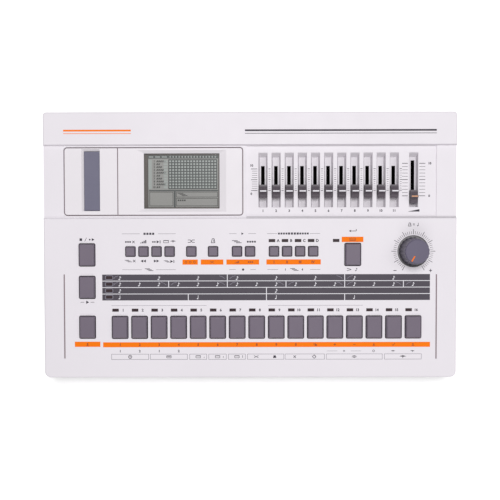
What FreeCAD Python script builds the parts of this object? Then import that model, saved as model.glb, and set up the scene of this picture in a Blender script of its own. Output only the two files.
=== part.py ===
import FreeCAD, Part
import math
import os

# Drum machine: a low plastic wedge with keys, faders and a tempo knob on its sloping top.
# World frame in millimetres: X to the right, Y to the rear, Z up, origin under the middle on the table.
# The top is one sloping plane. Its own coordinates are u along X, v up the slope from the front lip
# and w square to the slope, out of the machine.

os.makedirs("parts", exist_ok=True)

Vector = FreeCAD.Vector
UP = Vector(0, 0, 1)

# Overall size
WIDTH = 380.0
DEPTH = 250.0
HEIGHT = 73.0
SLOPE_DEG = 9.5
FOOT_HEIGHT = 3.0

# Case shell
WALL = 2.5
PANEL = 2.5
RIM_RADIUS = 1.5
FRONT_CORNER_RADIUS = 5.5
REAR_CORNER_RADIUS = 3.0
SPLIT_Z = 14.0
SEAM_STEP = 0.4
FLOOR = 2.5
BOTTOM_CHAMFER = 1.0

# Sunk band across the slope, and the deeper fader field in it
BAND_FRONT = 146.4
BAND_REAR = 214.5
BAND_DEPTH = 2.6
BAND_RUN = 1.1
BAND_SKIN = 3.0
FIELD_LEFT = -3.3
FIELD_RIGHT = 171.7
FIELD_DEPTH = 3.6
FIELD_FRONT_RUN = 2.3
FIELD_REAR_RUN = 1.5

# Fine grooves left and right of the keys, each as (u, front v, rear v)
SIDE_LINES = [(-171.2, 17.6, 95.4), (171.3, 17.0, 95.0)]
SIDE_LINE_WIDTH = 1.2
SIDE_LINE_DEPTH = 0.5

# Faders
FADER_COUNT = 11
FADER_FIRST_U = 12.0
FADER_PITCH = 12.1
VOLUME_U = 150.8
FADER_TRAVEL = 20.0
VOLUME_TRAVEL = 30.0
FADER_REST_V = 171.6
VOLUME_REST_V = 166.6
WELL_FRONT = 156.8
WELL_REAR = 207.2
WELL_WIDTH = 8.4
WELL_FLOOR_WIDTH = 5.8
WELL_DEPTH = 5.0
WELL_FLOOR = 1.6
WELL_RAMP = 4.0
WELL_FRONT_DRAFT = 0.5
WELL_WALL = 1.2
SLOT_WIDTH = 3.4
SLOT_FRONT_ROOM = 1.6
SLOT_REAR_ROOM = 1.9
CAP_LENGTH = 12.0
CAP_WIDTH = 6.9
CAP_FLOOR_GAP = 0.7
CAP_END_RISE = 1.4
CAP_RIDGE_RISE = 6.0
CAP_RIDGE_HALF = 0.9
CAP_FOOT_WIDTH = 5.0
CAP_HOLLOW = 0.9
CAP_ROUND = 0.35
LEVER_WIDTH = 1.2
LEVER_LENGTH = 3.6
LEVER_GAP = 0.06
LEVER_RISE = 0.8
POT_WIDTH = 8.6
POT_HEIGHT = 6.6
POT_GAP = 0.4
POT_END = 7.5
POT_FLOOR = 1.0
POT_END_ROOM = 0.8
POT_SIDE_ROOM = 0.5

# Keys and buttons: the same cap in two sizes
BIG_KEY = {"length": 20.1, "width": 14.2, "rise": 2.9, "taper": 0.85, "flange": 1.6,
           "round": 0.8, "stem": 1.7, "switch": 12.0}
SMALL_KEY = {"length": 8.4, "width": 8.4, "rise": 2.3, "taper": 0.6, "flange": 1.3,
             "round": 0.5, "stem": 1.2, "switch": 6.6}
KEY_GAP = 0.7
KEY_SHELL = 1.5
KEY_CROWN = 1.9
KEY_EDGE_W = 0.2
FLANGE_THICKNESS = 1.1
FLANGE_GAP = 0.3
STEM_DEPTH = 9.3
STEM_CLEARANCE = 0.3
SWITCH_TOP = -7.4
SWITCH_HOLE_FLOOR = -11.6
KEY_BOARD_TOP = -14.5
BOARD_THICKNESS = 1.6
STEP_COUNT = 16
STEP_PITCH = 18.0
STEP_FIRST_U = -120.0
STEP_V = 46.4
COLUMN_U = -150.0
STOP_V = 113.3
START_V = 83.4
ENTER_U = 94.4
BUTTON_V = 116.3
BUTTON_U = [-110.0, -98.0, -86.0, -74.0, -54.0, -34.0, -12.0, 0.0, 22.0, 34.0, 46.0, 58.0]

# Lamps
LAMP_LENGTH = 5.6
LAMP_WIDTH = 2.4
LAMP_GAP = 0.2
LAMP_RISE = 0.25
LAMP_ROUND = 0.4
STEP_LAMP_SHIFT = -4.1
STEP_LAMP_V = 62.3
GROUP_LAMP_SHIFT = -1.9
GROUP_LAMP_V = 126.2
ENTER_LAMP_U = 79.1
SCALE_LAMP_U = -129.8
SCALE_LAMP_V = [92.4, 86.3, 80.3, 74.4]

# Tempo knob
KNOB_U = 150.0
KNOB_V = 116.2
KNOB_WELL_RADIUS = 14.7
KNOB_WELL_TAPER = 0.5
KNOB_WELL_DEPTH = 1.8
KNOB_WELL_SKIN = 2.0
KNOB_BASE_RADIUS = 13.0
KNOB_TOP_RADIUS = 11.2
KNOB_HEIGHT = 16.2
KNOB_FLOOR_GAP = 0.6
KNOB_ROUND = 0.9
KNOB_FLUTES = 20
KNOB_FLUTE_RADIUS = 2.2
KNOB_FLUTE_DEPTH = 0.45
KNOB_CAP_THICKNESS = 2.5
KNOB_SHELL = 2.0
KNOB_HUB_RADIUS = 5.0
SHAFT_RADIUS = 3.0
SHAFT_GAP = 0.05
SHAFT_HOLE_RADIUS = 3.6
SHAFT_BOTTOM = -11.0
SHAFT_TOP = 12.0
POT_BODY_RADIUS = 8.5
POT_BODY_TOP = -6.5

# Insert plate with the cartridge slot and the display window
INSERT_LEFT = -171.2
INSERT_RIGHT = -6.6
INSERT_FRONT = 149.7
INSERT_REAR = 211.9
INSERT_CORNER = 2.8
INSERT_GROOVE = 0.9
INSERT_EDGE_BREAK = 0.25
INSERT_THICKNESS = 2.0
INSERT_LEDGE = 1.4
DIVIDER_U = -121.8
DIVIDER_WIDTH = 0.9
DIVIDER_DEPTH = 1.3
SLOT_LEFT = -153.3
SLOT_RIGHT = -138.2
SLOT_FRONT = 153.8
SLOT_REAR = 208.8
SLOT_BEVEL = 1.9
CHUTE_WALL = 1.6
CHUTE_BOTTOM = -28.0
WINDOW_LEFT = -97.9
WINDOW_RIGHT = -28.1
WINDOW_FRONT = 155.9
WINDOW_REAR = 206.7
WINDOW_SIDE_BEVEL = 6.2
WINDOW_END_BEVEL = 3.0
WINDOW_LIP = 2.2
WINDOW_THICKNESS = 1.5
DISPLAY_GAP = 0.5
GLASS_THICKNESS = 2.2
DISPLAY_FRAME = 2.0
DISPLAY_DEPTH = 4.0

# Cartridge shutter
SHUTTER_GAP = 0.35
SHUTTER_TOP = -4.1
SHUTTER_THICKNESS = 1.2
HINGE_INSET = 1.2
HINGE_W = -5.7
HINGE_PIN_RADIUS = 0.9
HINGE_FIT = 0.05
HINGE_PIN_REACH = 1.4
KNUCKLE_RADIUS = 1.1
HINGE_WEB = 0.6

# Rear panel and sockets
REAR_PANEL_LEFT = -174.0
REAR_PANEL_RIGHT = 176.0
REAR_PANEL_LOW = 20.0
REAR_PANEL_HIGH = 52.0
REAR_PLATE = 1.2
REAR_LEDGE = 5.0
REAR_PLATE_GAP = 0.2
SOCKET_Z = 36.0
SOCKET_BODY_BACK = 26.0
QUARTER_COUNT = 13
QUARTER_FIRST_X = 31.0
QUARTER_PITCH = -16.0
QUARTER_BORE = 3.25
QUARTER_BUSH = 4.5
QUARTER_BODY = 14.0
QUARTER_DEPTH = 32.5
QUARTER_NUT = 6.2
NUT_HEIGHT = 2.4
WASHER_RADIUS = 6.8
WASHER_HEIGHT = 0.6
MINI_X = [69.0, 58.0, 47.0]
MINI_BORE = 1.8
MINI_BUSH = 3.0
MINI_BODY = 8.0
MINI_DEPTH = 15.0
MINI_REACH = 3.6
MINI_BODY_BACK = 16.0
MINI_NUT = 4.3
MINI_NUT_HEIGHT = 2.0
DIN_X = [131.0, 109.0, 87.0]
DIN_FACE = 8.2
DIN_SHIELD_OUTER = 6.8
DIN_SHIELD_INNER = 5.6
DIN_DEPTH = 8.0
DIN_PIN_CIRCLE = 3.75
DIN_PIN_HOLE = 0.8
DIN_BODY = 19.0
DIN_BODY_BACK = 14.0
DIN_REACH = 0.6
DIN_PIN_ANGLES = (0, 45, 90, 135, 180)
POWER_INLET_X = 151.0
POWER_INLET_HALF = 5.0
POWER_INLET_RADIUS = 2.8
POWER_PIN_RADIUS = 1.05
POWER_INLET_BACK = 13.0
POWER_INLET_REACH = 0.3
POWER_INLET_DEPTH = 9.0
POWER_PIN_SINK = 0.5
POWER_BUTTON_X = 163.5
POWER_BUTTON_SIZE = 9.0
POWER_BUTTON_REACH = 5.0
POWER_BUTTON_TRAVEL = 3.0
POWER_CAP_BACK = 6.0
POWER_STEM_BACK = 14.0
POWER_STEM_RADIUS = 2.0
POWER_COLLAR = 1.2
POWER_COLLAR_BACK = 2.0
POWER_COLLAR_GAP = 0.4
POWER_BUTTON_ROUND = 0.8
POWER_SWITCH_HALF = 6.0
POWER_SWITCH_LENGTH = 14.0
POWER_SWITCH_ROOM = 0.6
PLATE_HOLE_GAP = 0.3
PLATE_SCREW_ROOM = 0.2

# Boards: the key, fader and main boards, and the chips as (x, y, length, width)
KEY_BOARD = (-162.0, 166.0, 32.0, 130.0)
FADER_BOARD = (3.0, 160.0, 156.0, 209.0)
MAIN_BOARD = (-150.0, 50.0, -75.0, 70.0)
MAIN_BOARD_Z = 11.0
MAIN_BOARD_INSET = 6.0
STAND_OFF_RADIUS = 3.0
CHIP_HEIGHT = 4.0
CHIPS = [(-110.0, -40.0, 36.0, 13.0), (-110.0, 0.0, 36.0, 13.0), (-50.0, -40.0, 36.0, 13.0),
         (-50.0, 0.0, 52.0, 14.0), (15.0, -40.0, 20.0, 7.0), (15.0, -10.0, 20.0, 7.0),
         (-20.0, 40.0, 36.0, 13.0)]
SOCKET_BOARD_X = (-170.0, 160.0)
SOCKET_BOARD_LENGTH = 32.0
CONNECTOR_HEIGHT = 9.0
CONTACT_DEPTH = 7.0

# Battery bay under the machine
BAY_LEFT = 70.0
BAY_RIGHT = 132.0
BAY_FRONT = 12.0
BAY_REAR = 48.0
BAY_HEIGHT = 17.0
BAY_WALL = 1.6
DOOR_LIP = 1.5
DOOR_THICKNESS = 1.6
DOOR_GAP = 0.3
GRIP_COUNT = 5
GRIP_START = 6.0
GRIP_PITCH = 2.0
GRIP_INSET = 20.0
GRIP_DEPTH = 0.5

# Screws, bosses and feet
BOSS_RADIUS = 4.0
POST_RADIUS = 5.0
BOSS_END_Z = 10.0
SCREW_HEAD_RADIUS = 2.8
SCREW_HEAD_HEIGHT = 2.0
SCREW_SHANK_RADIUS = 1.45
SCREW_FIT = 0.05
SCREW_ROOM = 0.3
SHANK_ROOM = 0.25
SCREW_RECESS = 1.6
SCREW_LENGTH = 16.0
REAR_SCREW_LENGTH = 6.0
REAR_SCREW_HEAD = 1.5
REAR_SCREW_INSET = 10.0
CROSS_LENGTH = 3.2
CROSS_WIDTH = 0.7
CROSS_DEPTH = 0.9
NUT_FIT = 0.05
SCREW_XY = [(-165.0, -114.0), (0.0, -114.0), (165.0, -114.0), (-181.0, -10.0), (181.0, -10.0),
            (-181.0, 97.0), (181.0, 97.0)]
FOOT_RADIUS = 8.0
FOOT_XY = [(-160.0, -98.0), (160.0, -98.0), (-160.0, 92.0), (160.0, 92.0)]
FOOT_PEG = 1.0
FOOT_FIT = 0.1
FOOT_CHAMFER = 0.8

# Worked out from the sizes above
FRONT_Y = -DEPTH / 2
REAR_Y = 116.0
SLOPE = math.radians(SLOPE_DEG)
RIM_DROP = RIM_RADIUS * (math.tan(SLOPE) + 1 / math.cos(SLOPE) - 1)
REAR_TOP_Z = HEIGHT + RIM_DROP
FRONT_TOP_Z = REAR_TOP_Z - (REAR_Y - FRONT_Y) * math.tan(SLOPE)
FIELD_W = -FIELD_DEPTH
BAND_W = -BAND_DEPTH
WELL_FLOOR_W = FIELD_W - WELL_DEPTH
POT_TOP = WELL_FLOOR_W - WELL_FLOOR - POT_GAP
POT_BOTTOM = POT_TOP - POT_HEIGHT
INSERT_BOTTOM = BAND_W - INSERT_THICKNESS
GLASS_TOP = INSERT_BOTTOM - WINDOW_THICKNESS - DISPLAY_GAP
PLATE_BACK_Y = REAR_Y - REAR_PLATE
SOCKET_LOW_Z = SOCKET_Z - QUARTER_BODY / 2
MAIN_BOARD_CORNERS = [(x, y) for x in (MAIN_BOARD[0] + MAIN_BOARD_INSET, MAIN_BOARD[1] - MAIN_BOARD_INSET)
                      for y in (MAIN_BOARD[2] + MAIN_BOARD_INSET, MAIN_BOARD[3] - MAIN_BOARD_INSET)]
FAR = 400.0
ON_SLOPE = FreeCAD.Placement(Vector(0, FRONT_Y, FRONT_TOP_Z), FreeCAD.Rotation(Vector(1, 0, 0), SLOPE_DEG))


# Helpers

def on_slope(shape):
    """Carry a shape drawn in u, v, w onto the sloping top."""
    placed = shape.copy()
    placed.Placement = ON_SLOPE.multiply(shape.Placement)
    return placed


def block(x0, x1, y0, y1, z0, z1):
    return Part.makeBox(x1 - x0, y1 - y0, z1 - z0, Vector(x0, y0, z0))


def rod(radius, start, end):
    line = end.sub(start)
    return Part.makeCylinder(radius, line.Length, start, line)


def tapered(low, high, z_low, z_high):
    """A solid between two rectangles, each (x0, x1, y0, y1)."""
    corners = []
    for rect, z in ((low, z_low), (high, z_high)):
        x0, x1, y0, y1 = rect
        corners.append([Vector(x0, y0, z), Vector(x1, y0, z), Vector(x1, y1, z), Vector(x0, y1, z)])
    bottom, top = corners
    faces = [Part.Face(Part.makePolygon(ring + ring[:1])) for ring in corners]
    for i in range(4):
        j = (i + 1) % 4
        side = [bottom[i], bottom[j], top[j], top[i], bottom[i]]
        faces.append(Part.Face(Part.makePolygon(side)))
    return Part.makeSolid(Part.makeShell(faces))


def prism_x(points, x0, x1):
    """Extrude a closed outline of (y, z) points along X."""
    ring = [Vector(x0, y, z) for y, z in points]
    return Part.Face(Part.makePolygon(ring + ring[:1])).extrude(Vector(x1 - x0, 0, 0))


def round_rect(x0, x1, y0, y1, radius, z0, z1):
    """A box with its four upright edges rounded."""
    box = block(x0, x1, y0, y1, z0, z1)
    upright = [edge for edge in box.Edges if abs(edge.tangentAt(edge.FirstParameter).z) > 0.99]
    return box.makeFillet(radius, upright)


def grown(rect, by):
    x0, x1, y0, y1 = rect
    return (x0 - by, x1 + by, y0 - by, y1 + by)


def fused(shapes):
    return shapes[0].multiFuse(shapes[1:]).removeSplitter()


def save(name, shapes):
    """Write one node; a list becomes a group of separate solids."""
    shape = Part.makeCompound(shapes) if isinstance(shapes, list) else shapes
    for solid in shape.Solids:
        if not solid.isValid():
            print("INVALID", name)
    shape.exportStep("parts/" + name + ".step")
    print(name, len(shape.Solids), round(shape.Volume / 1000, 2), "cm3")


# Places along the slope

def fader_places():
    return [FADER_FIRST_U + FADER_PITCH * i for i in range(FADER_COUNT)]


def all_fader_places():
    """Each fader as (u, rest v, travel)."""
    instruments = [(u, FADER_REST_V, FADER_TRAVEL) for u in fader_places()]
    return instruments + [(VOLUME_U, VOLUME_REST_V, VOLUME_TRAVEL)]


def big_key_places():
    """Every large key as (node name, u, v)."""
    keys = [("step_key_%02d" % (i + 1), STEP_FIRST_U + STEP_PITCH * i, STEP_V) for i in range(STEP_COUNT)]
    keys += [("key_stop", COLUMN_U, STOP_V), ("key_start", COLUMN_U, START_V)]
    keys += [("key_shift", COLUMN_U, STEP_V + 0.2), ("key_enter", ENTER_U, STOP_V)]
    return keys


def small_key_places():
    return [("button_%02d" % (i + 1), u, BUTTON_V) for i, u in enumerate(BUTTON_U)]


def lamp_places():
    steps = [(STEP_FIRST_U + STEP_PITCH * i + STEP_LAMP_SHIFT, STEP_LAMP_V) for i in range(STEP_COUNT)]
    groups = [(u + GROUP_LAMP_SHIFT, GROUP_LAMP_V) for u in BUTTON_U[-4:]]
    scales = [(SCALE_LAMP_U, v) for v in SCALE_LAMP_V]
    return steps + groups + [(ENTER_LAMP_U, GROUP_LAMP_V)] + scales


def quarter_places():
    return [QUARTER_FIRST_X + QUARTER_PITCH * i for i in range(QUARTER_COUNT)]


# Case

def plan(inset, z0, z1):
    """The case's plan outline as an upright solid, moved in by inset."""
    x = WIDTH / 2 - inset
    y0 = FRONT_Y + inset
    y1 = REAR_Y - inset
    box = block(-x, x, y0, y1, z0, z1)
    front = []
    rear = []
    for edge in box.Edges:
        if abs(edge.tangentAt(edge.FirstParameter).z) > 0.99:
            (front if edge.CenterOfMass.y < 0 else rear).append(edge)
    box = box.makeFillet(max(FRONT_CORNER_RADIUS - inset, 1.0), front)
    rear = [edge for edge in box.Edges
            if abs(edge.CenterOfMass.y - y1) < 0.001 and abs(abs(edge.CenterOfMass.x) - x) < 0.001]
    return box.makeFillet(max(REAR_CORNER_RADIUS - inset, 0.8), rear)


def below_slope(w):
    """Everything under the plane at height w over the slope."""
    return on_slope(block(-FAR, FAR, -FAR, FAR, -FAR, w))


def outer_wedge():
    wedge = plan(0.0, SPLIT_Z, HEIGHT + 20).common(below_slope(0.0))
    normal = Vector(0, -math.sin(SLOPE), math.cos(SLOPE))
    top = [face for face in wedge.Faces if face.normalAt(0, 0).dot(normal) > 0.999][0]
    return wedge.makeFillet(RIM_RADIUS, top.OuterWire.Edges)


def band_cut():
    above = 10.0
    deep = [(BAND_REAR, above), (BAND_REAR, 0), (BAND_REAR - BAND_RUN, BAND_W),
            (BAND_FRONT + BAND_RUN, BAND_W), (BAND_FRONT, 0), (BAND_FRONT, above)]
    field = [(BAND_REAR, above), (BAND_REAR, 0), (BAND_REAR - FIELD_REAR_RUN, FIELD_W),
             (BAND_FRONT + FIELD_FRONT_RUN, FIELD_W), (BAND_FRONT, 0), (BAND_FRONT, above)]
    return prism_x(deep, -FAR / 2, FAR / 2).fuse(prism_x(field, FIELD_LEFT, FIELD_RIGHT))


def well_cut(u):
    """One fader well: slanting sides, and a ramp at its rear end."""
    top = (u - WELL_WIDTH / 2, u + WELL_WIDTH / 2, WELL_FRONT, WELL_REAR)
    half = WELL_FLOOR_WIDTH / 2
    floor = (u - half, u + half, WELL_FRONT + WELL_FRONT_DRAFT, WELL_REAR - WELL_RAMP)
    return tapered(floor, top, WELL_FLOOR_W, FIELD_W).fuse(block(*top, FIELD_W, FIELD_W + 0.5))


def well_pad(u):
    """The moulded trough under the panel that a well is cut into."""
    half = WELL_FLOOR_WIDTH / 2 + WELL_WALL + 0.6
    return block(u - half, u + half, WELL_FRONT - WELL_WALL, WELL_REAR + WELL_WALL,
                 WELL_FLOOR_W - WELL_FLOOR, FIELD_W - 1.0)


def fader_slot(u, rest, travel):
    front = rest - LEVER_LENGTH / 2 - SLOT_FRONT_ROOM
    rear = rest + travel + LEVER_LENGTH / 2 + SLOT_REAR_ROOM
    return block(u - SLOT_WIDTH / 2, u + SLOT_WIDTH / 2, front, rear,
                 WELL_FLOOR_W - WELL_FLOOR - 1, WELL_FLOOR_W + 1)


def key_hole(u, v, key):
    half_u = key["width"] / 2 + KEY_GAP
    half_v = key["length"] / 2 + KEY_GAP
    return round_rect(u - half_u, u + half_u, v - half_v, v + half_v, key["round"] + KEY_GAP,
                      -PANEL - 1, 1)


def lamp_hole(u, v):
    half_u = LAMP_LENGTH / 2 + LAMP_GAP
    half_v = LAMP_WIDTH / 2 + LAMP_GAP
    return block(u - half_u, u + half_u, v - half_v, v + half_v, -PANEL - 1, 1)


def insert_opening():
    """The step that the insert plate sits in, and the smaller opening through it."""
    gap = INSERT_GROOVE / 2
    seat = round_rect(INSERT_LEFT - gap, INSERT_RIGHT + gap, INSERT_FRONT - gap, INSERT_REAR + gap,
                      INSERT_CORNER + gap, INSERT_BOTTOM, 1)
    through = block(INSERT_LEFT + INSERT_LEDGE, INSERT_RIGHT - INSERT_LEDGE,
                    INSERT_FRONT + INSERT_LEDGE, INSERT_REAR - INSERT_LEDGE, -12, 1)
    return seat.fuse(through)


def side_lines():
    """The two fine upright grooves left and right of the key field."""
    half = SIDE_LINE_WIDTH / 2
    return [block(u - half, u + half, front, rear, -SIDE_LINE_DEPTH, 1) for u, front, rear in SIDE_LINES]


def boss(x, y):
    return Part.makeCylinder(BOSS_RADIUS, HEIGHT, Vector(x, y, BOSS_END_Z))


def pilot_hole(x, y):
    depth = SCREW_LENGTH + 2
    return Part.makeCylinder(SCREW_SHANK_RADIUS + SCREW_FIT, depth, Vector(x, y, BOSS_END_Z - 1))


def make_top_case():
    outer = outer_wedge().cut(on_slope(band_cut()))
    cavity = plan(WALL, SPLIT_Z - 1, HEIGHT + 20).common(below_slope(-PANEL))
    band_skin = block(-FAR, FAR, BAND_FRONT - PANEL, BAND_REAR + PANEL, BAND_W - BAND_SKIN, 1)
    cavity = cavity.cut(on_slope(band_skin))
    knob_pad = rod(KNOB_WELL_RADIUS + 2, Vector(KNOB_U, KNOB_V, -KNOB_WELL_DEPTH - KNOB_WELL_SKIN),
                   Vector(KNOB_U, KNOB_V, 0))
    pads = [on_slope(well_pad(place[0])) for place in all_fader_places()] + [on_slope(knob_pad)]
    bosses = [boss(x, y).common(below_slope(-PANEL / 2)) for x, y in SCREW_XY]
    case = fused([outer.cut(cavity)] + pads + bosses)

    cuts = [well_cut(place[0]) for place in all_fader_places()]
    cuts += [fader_slot(*place) for place in all_fader_places()]
    cuts += [key_hole(u, v, BIG_KEY) for _, u, v in big_key_places()]
    cuts += [key_hole(u, v, SMALL_KEY) for _, u, v in small_key_places()]
    cuts += [lamp_hole(u, v) for u, v in lamp_places()]
    cuts += side_lines()
    cuts.append(Part.makeCone(KNOB_WELL_RADIUS - KNOB_WELL_TAPER, KNOB_WELL_RADIUS + KNOB_WELL_TAPER,
                              2 * KNOB_WELL_DEPTH, Vector(KNOB_U, KNOB_V, -KNOB_WELL_DEPTH), UP))
    cuts.append(rod(SHAFT_HOLE_RADIUS, Vector(KNOB_U, KNOB_V, -10), Vector(KNOB_U, KNOB_V, 1)))
    cuts.append(insert_opening())
    cuts = [on_slope(cut) for cut in cuts]
    cuts += [pilot_hole(x, y) for x, y in SCREW_XY]
    cuts += rear_opening()
    return case.cut(cuts)


def rear_opening():
    """The step in the rear wall for the socket plate, and the opening behind it."""
    gap = REAR_PLATE_GAP
    seat = block(REAR_PANEL_LEFT - gap, REAR_PANEL_RIGHT + gap, REAR_Y - REAR_PLATE, REAR_Y + 1,
                 REAR_PANEL_LOW - gap, REAR_PANEL_HIGH + gap)
    through = block(REAR_PANEL_LEFT + REAR_LEDGE, REAR_PANEL_RIGHT - REAR_LEDGE, REAR_Y - WALL - 1,
                    REAR_Y + 1, REAR_PANEL_LOW + REAR_LEDGE, REAR_PANEL_HIGH - REAR_LEDGE)
    screws = [rod(SCREW_SHANK_RADIUS + SCREW_FIT, Vector(x, REAR_Y - WALL - 1, z), Vector(x, REAR_Y + 1, z))
              for x, z in rear_screw_places()]
    return [seat, through] + screws


def rear_screw_places():
    inset = REAR_LEDGE / 2
    xs = [REAR_PANEL_LEFT + REAR_SCREW_INSET, 0.0, REAR_PANEL_RIGHT - REAR_SCREW_INSET]
    return [(x, z) for x in xs for z in (REAR_PANEL_LOW + inset, REAR_PANEL_HIGH - inset)]


def make_bottom_case():
    tray = plan(SEAM_STEP, FOOT_HEIGHT, SPLIT_Z)
    low = [edge for edge in tray.Edges if abs(edge.BoundBox.ZMax - FOOT_HEIGHT) < 0.001]
    tray = tray.makeChamfer(BOTTOM_CHAMFER, low)
    tray = tray.cut(plan(WALL, FOOT_HEIGHT + FLOOR, SPLIT_Z + 1))
    posts = [Part.makeCylinder(POST_RADIUS, BOSS_END_Z - FOOT_HEIGHT, Vector(x, y, FOOT_HEIGHT))
             for x, y in SCREW_XY]
    posts = [post.common(plan(SEAM_STEP, FOOT_HEIGHT, SPLIT_Z)) for post in posts]
    bay = (BAY_LEFT - BAY_WALL, BAY_RIGHT + BAY_WALL, BAY_FRONT - BAY_WALL, BAY_REAR + BAY_WALL)
    bay_box = block(*bay, FOOT_HEIGHT, FOOT_HEIGHT + BAY_HEIGHT + BAY_WALL)
    stand_offs = [Part.makeCylinder(STAND_OFF_RADIUS, MAIN_BOARD_Z - FOOT_HEIGHT, Vector(x, y, FOOT_HEIGHT))
                  for x, y in MAIN_BOARD_CORNERS]
    case = fused([tray, bay_box] + posts + stand_offs)

    cuts = [block(BAY_LEFT, BAY_RIGHT, BAY_FRONT, BAY_REAR, FOOT_HEIGHT - 1, FOOT_HEIGHT + BAY_HEIGHT)]
    cuts.append(block(*grown((BAY_LEFT, BAY_RIGHT, BAY_FRONT, BAY_REAR), DOOR_LIP),
                      FOOT_HEIGHT - 1, FOOT_HEIGHT + DOOR_THICKNESS))
    head_seat = FOOT_HEIGHT + SCREW_RECESS + SCREW_HEAD_HEIGHT
    for x, y in SCREW_XY:
        cuts.append(Part.makeCylinder(SCREW_HEAD_RADIUS + SCREW_ROOM, head_seat - FOOT_HEIGHT + 1,
                                      Vector(x, y, FOOT_HEIGHT - 1)))
        cuts.append(Part.makeCylinder(SCREW_SHANK_RADIUS + SHANK_ROOM, SPLIT_Z, Vector(x, y, FOOT_HEIGHT)))
    for x, y in FOOT_XY:
        cuts.append(Part.makeCylinder(FOOT_RADIUS, FOOT_PEG + 1, Vector(x, y, FOOT_HEIGHT - 1)))
    return case.cut(cuts)


def make_battery_door():
    gap = DOOR_GAP
    lid = grown((BAY_LEFT, BAY_RIGHT, BAY_FRONT, BAY_REAR), DOOR_LIP - gap)
    plate = block(*lid, FOOT_HEIGHT, FOOT_HEIGHT + DOOR_THICKNESS)
    grips = []
    for i in range(GRIP_COUNT):
        y = BAY_FRONT + GRIP_START + GRIP_PITCH * i
        grips.append(block(BAY_LEFT + GRIP_INSET, BAY_RIGHT - GRIP_INSET, y, y + GRIP_PITCH / 2,
                           FOOT_HEIGHT - 1, FOOT_HEIGHT + GRIP_DEPTH))
    return plate.cut(grips)


def make_feet():
    feet = []
    for x, y in FOOT_XY:
        foot = Part.makeCylinder(FOOT_RADIUS - FOOT_FIT, FOOT_HEIGHT + FOOT_PEG, Vector(x, y, 0))
        low = [edge for edge in foot.Edges if edge.BoundBox.ZMax < 0.001]
        feet.append(foot.makeChamfer(FOOT_CHAMFER, low))
    return feet


# Keys

def make_key(u, v, key):
    """A hollow cap with a retaining flange under the panel and a stem down to its switch."""
    half_u = key["width"] / 2
    half_v = key["length"] / 2
    base = (u - half_u, u + half_u, v - half_v, v + half_v)
    flange_top = -PANEL - FLANGE_GAP
    flange_low = flange_top - FLANGE_THICKNESS
    edge_w = KEY_EDGE_W
    skirt = block(*base, flange_top, edge_w)
    crown = tapered(base, grown(base, -key["taper"]), edge_w, key["rise"])
    cap = skirt.fuse(crown).removeSplitter()
    soft = [edge for edge in cap.Edges if edge.BoundBox.ZMax > edge_w + 0.01]
    soft += [edge for edge in cap.Edges
             if edge.BoundBox.ZMax < edge_w + 0.01 and edge.BoundBox.ZLength > 1.0]
    cap = cap.makeFillet(key["round"], soft)
    flange = block(*grown(base, key["flange"]), flange_low, flange_top)
    body = fused([cap, flange])
    hollow = block(*grown(base, -KEY_SHELL), flange_low - 1, key["rise"] - KEY_CROWN)
    stem = rod(key["stem"], Vector(u, v, -STEM_DEPTH), Vector(u, v, key["rise"] - KEY_SHELL))
    return on_slope(body.cut(hollow).fuse(stem).removeSplitter())


def make_switch(u, v, key):
    half = key["switch"] / 2
    body = block(u - half, u + half, v - half, v + half, KEY_BOARD_TOP, SWITCH_TOP)
    hole = rod(key["stem"] + STEM_CLEARANCE, Vector(u, v, SWITCH_HOLE_FLOOR), Vector(u, v, 0))
    return on_slope(body.cut(hole))


# Faders

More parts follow.
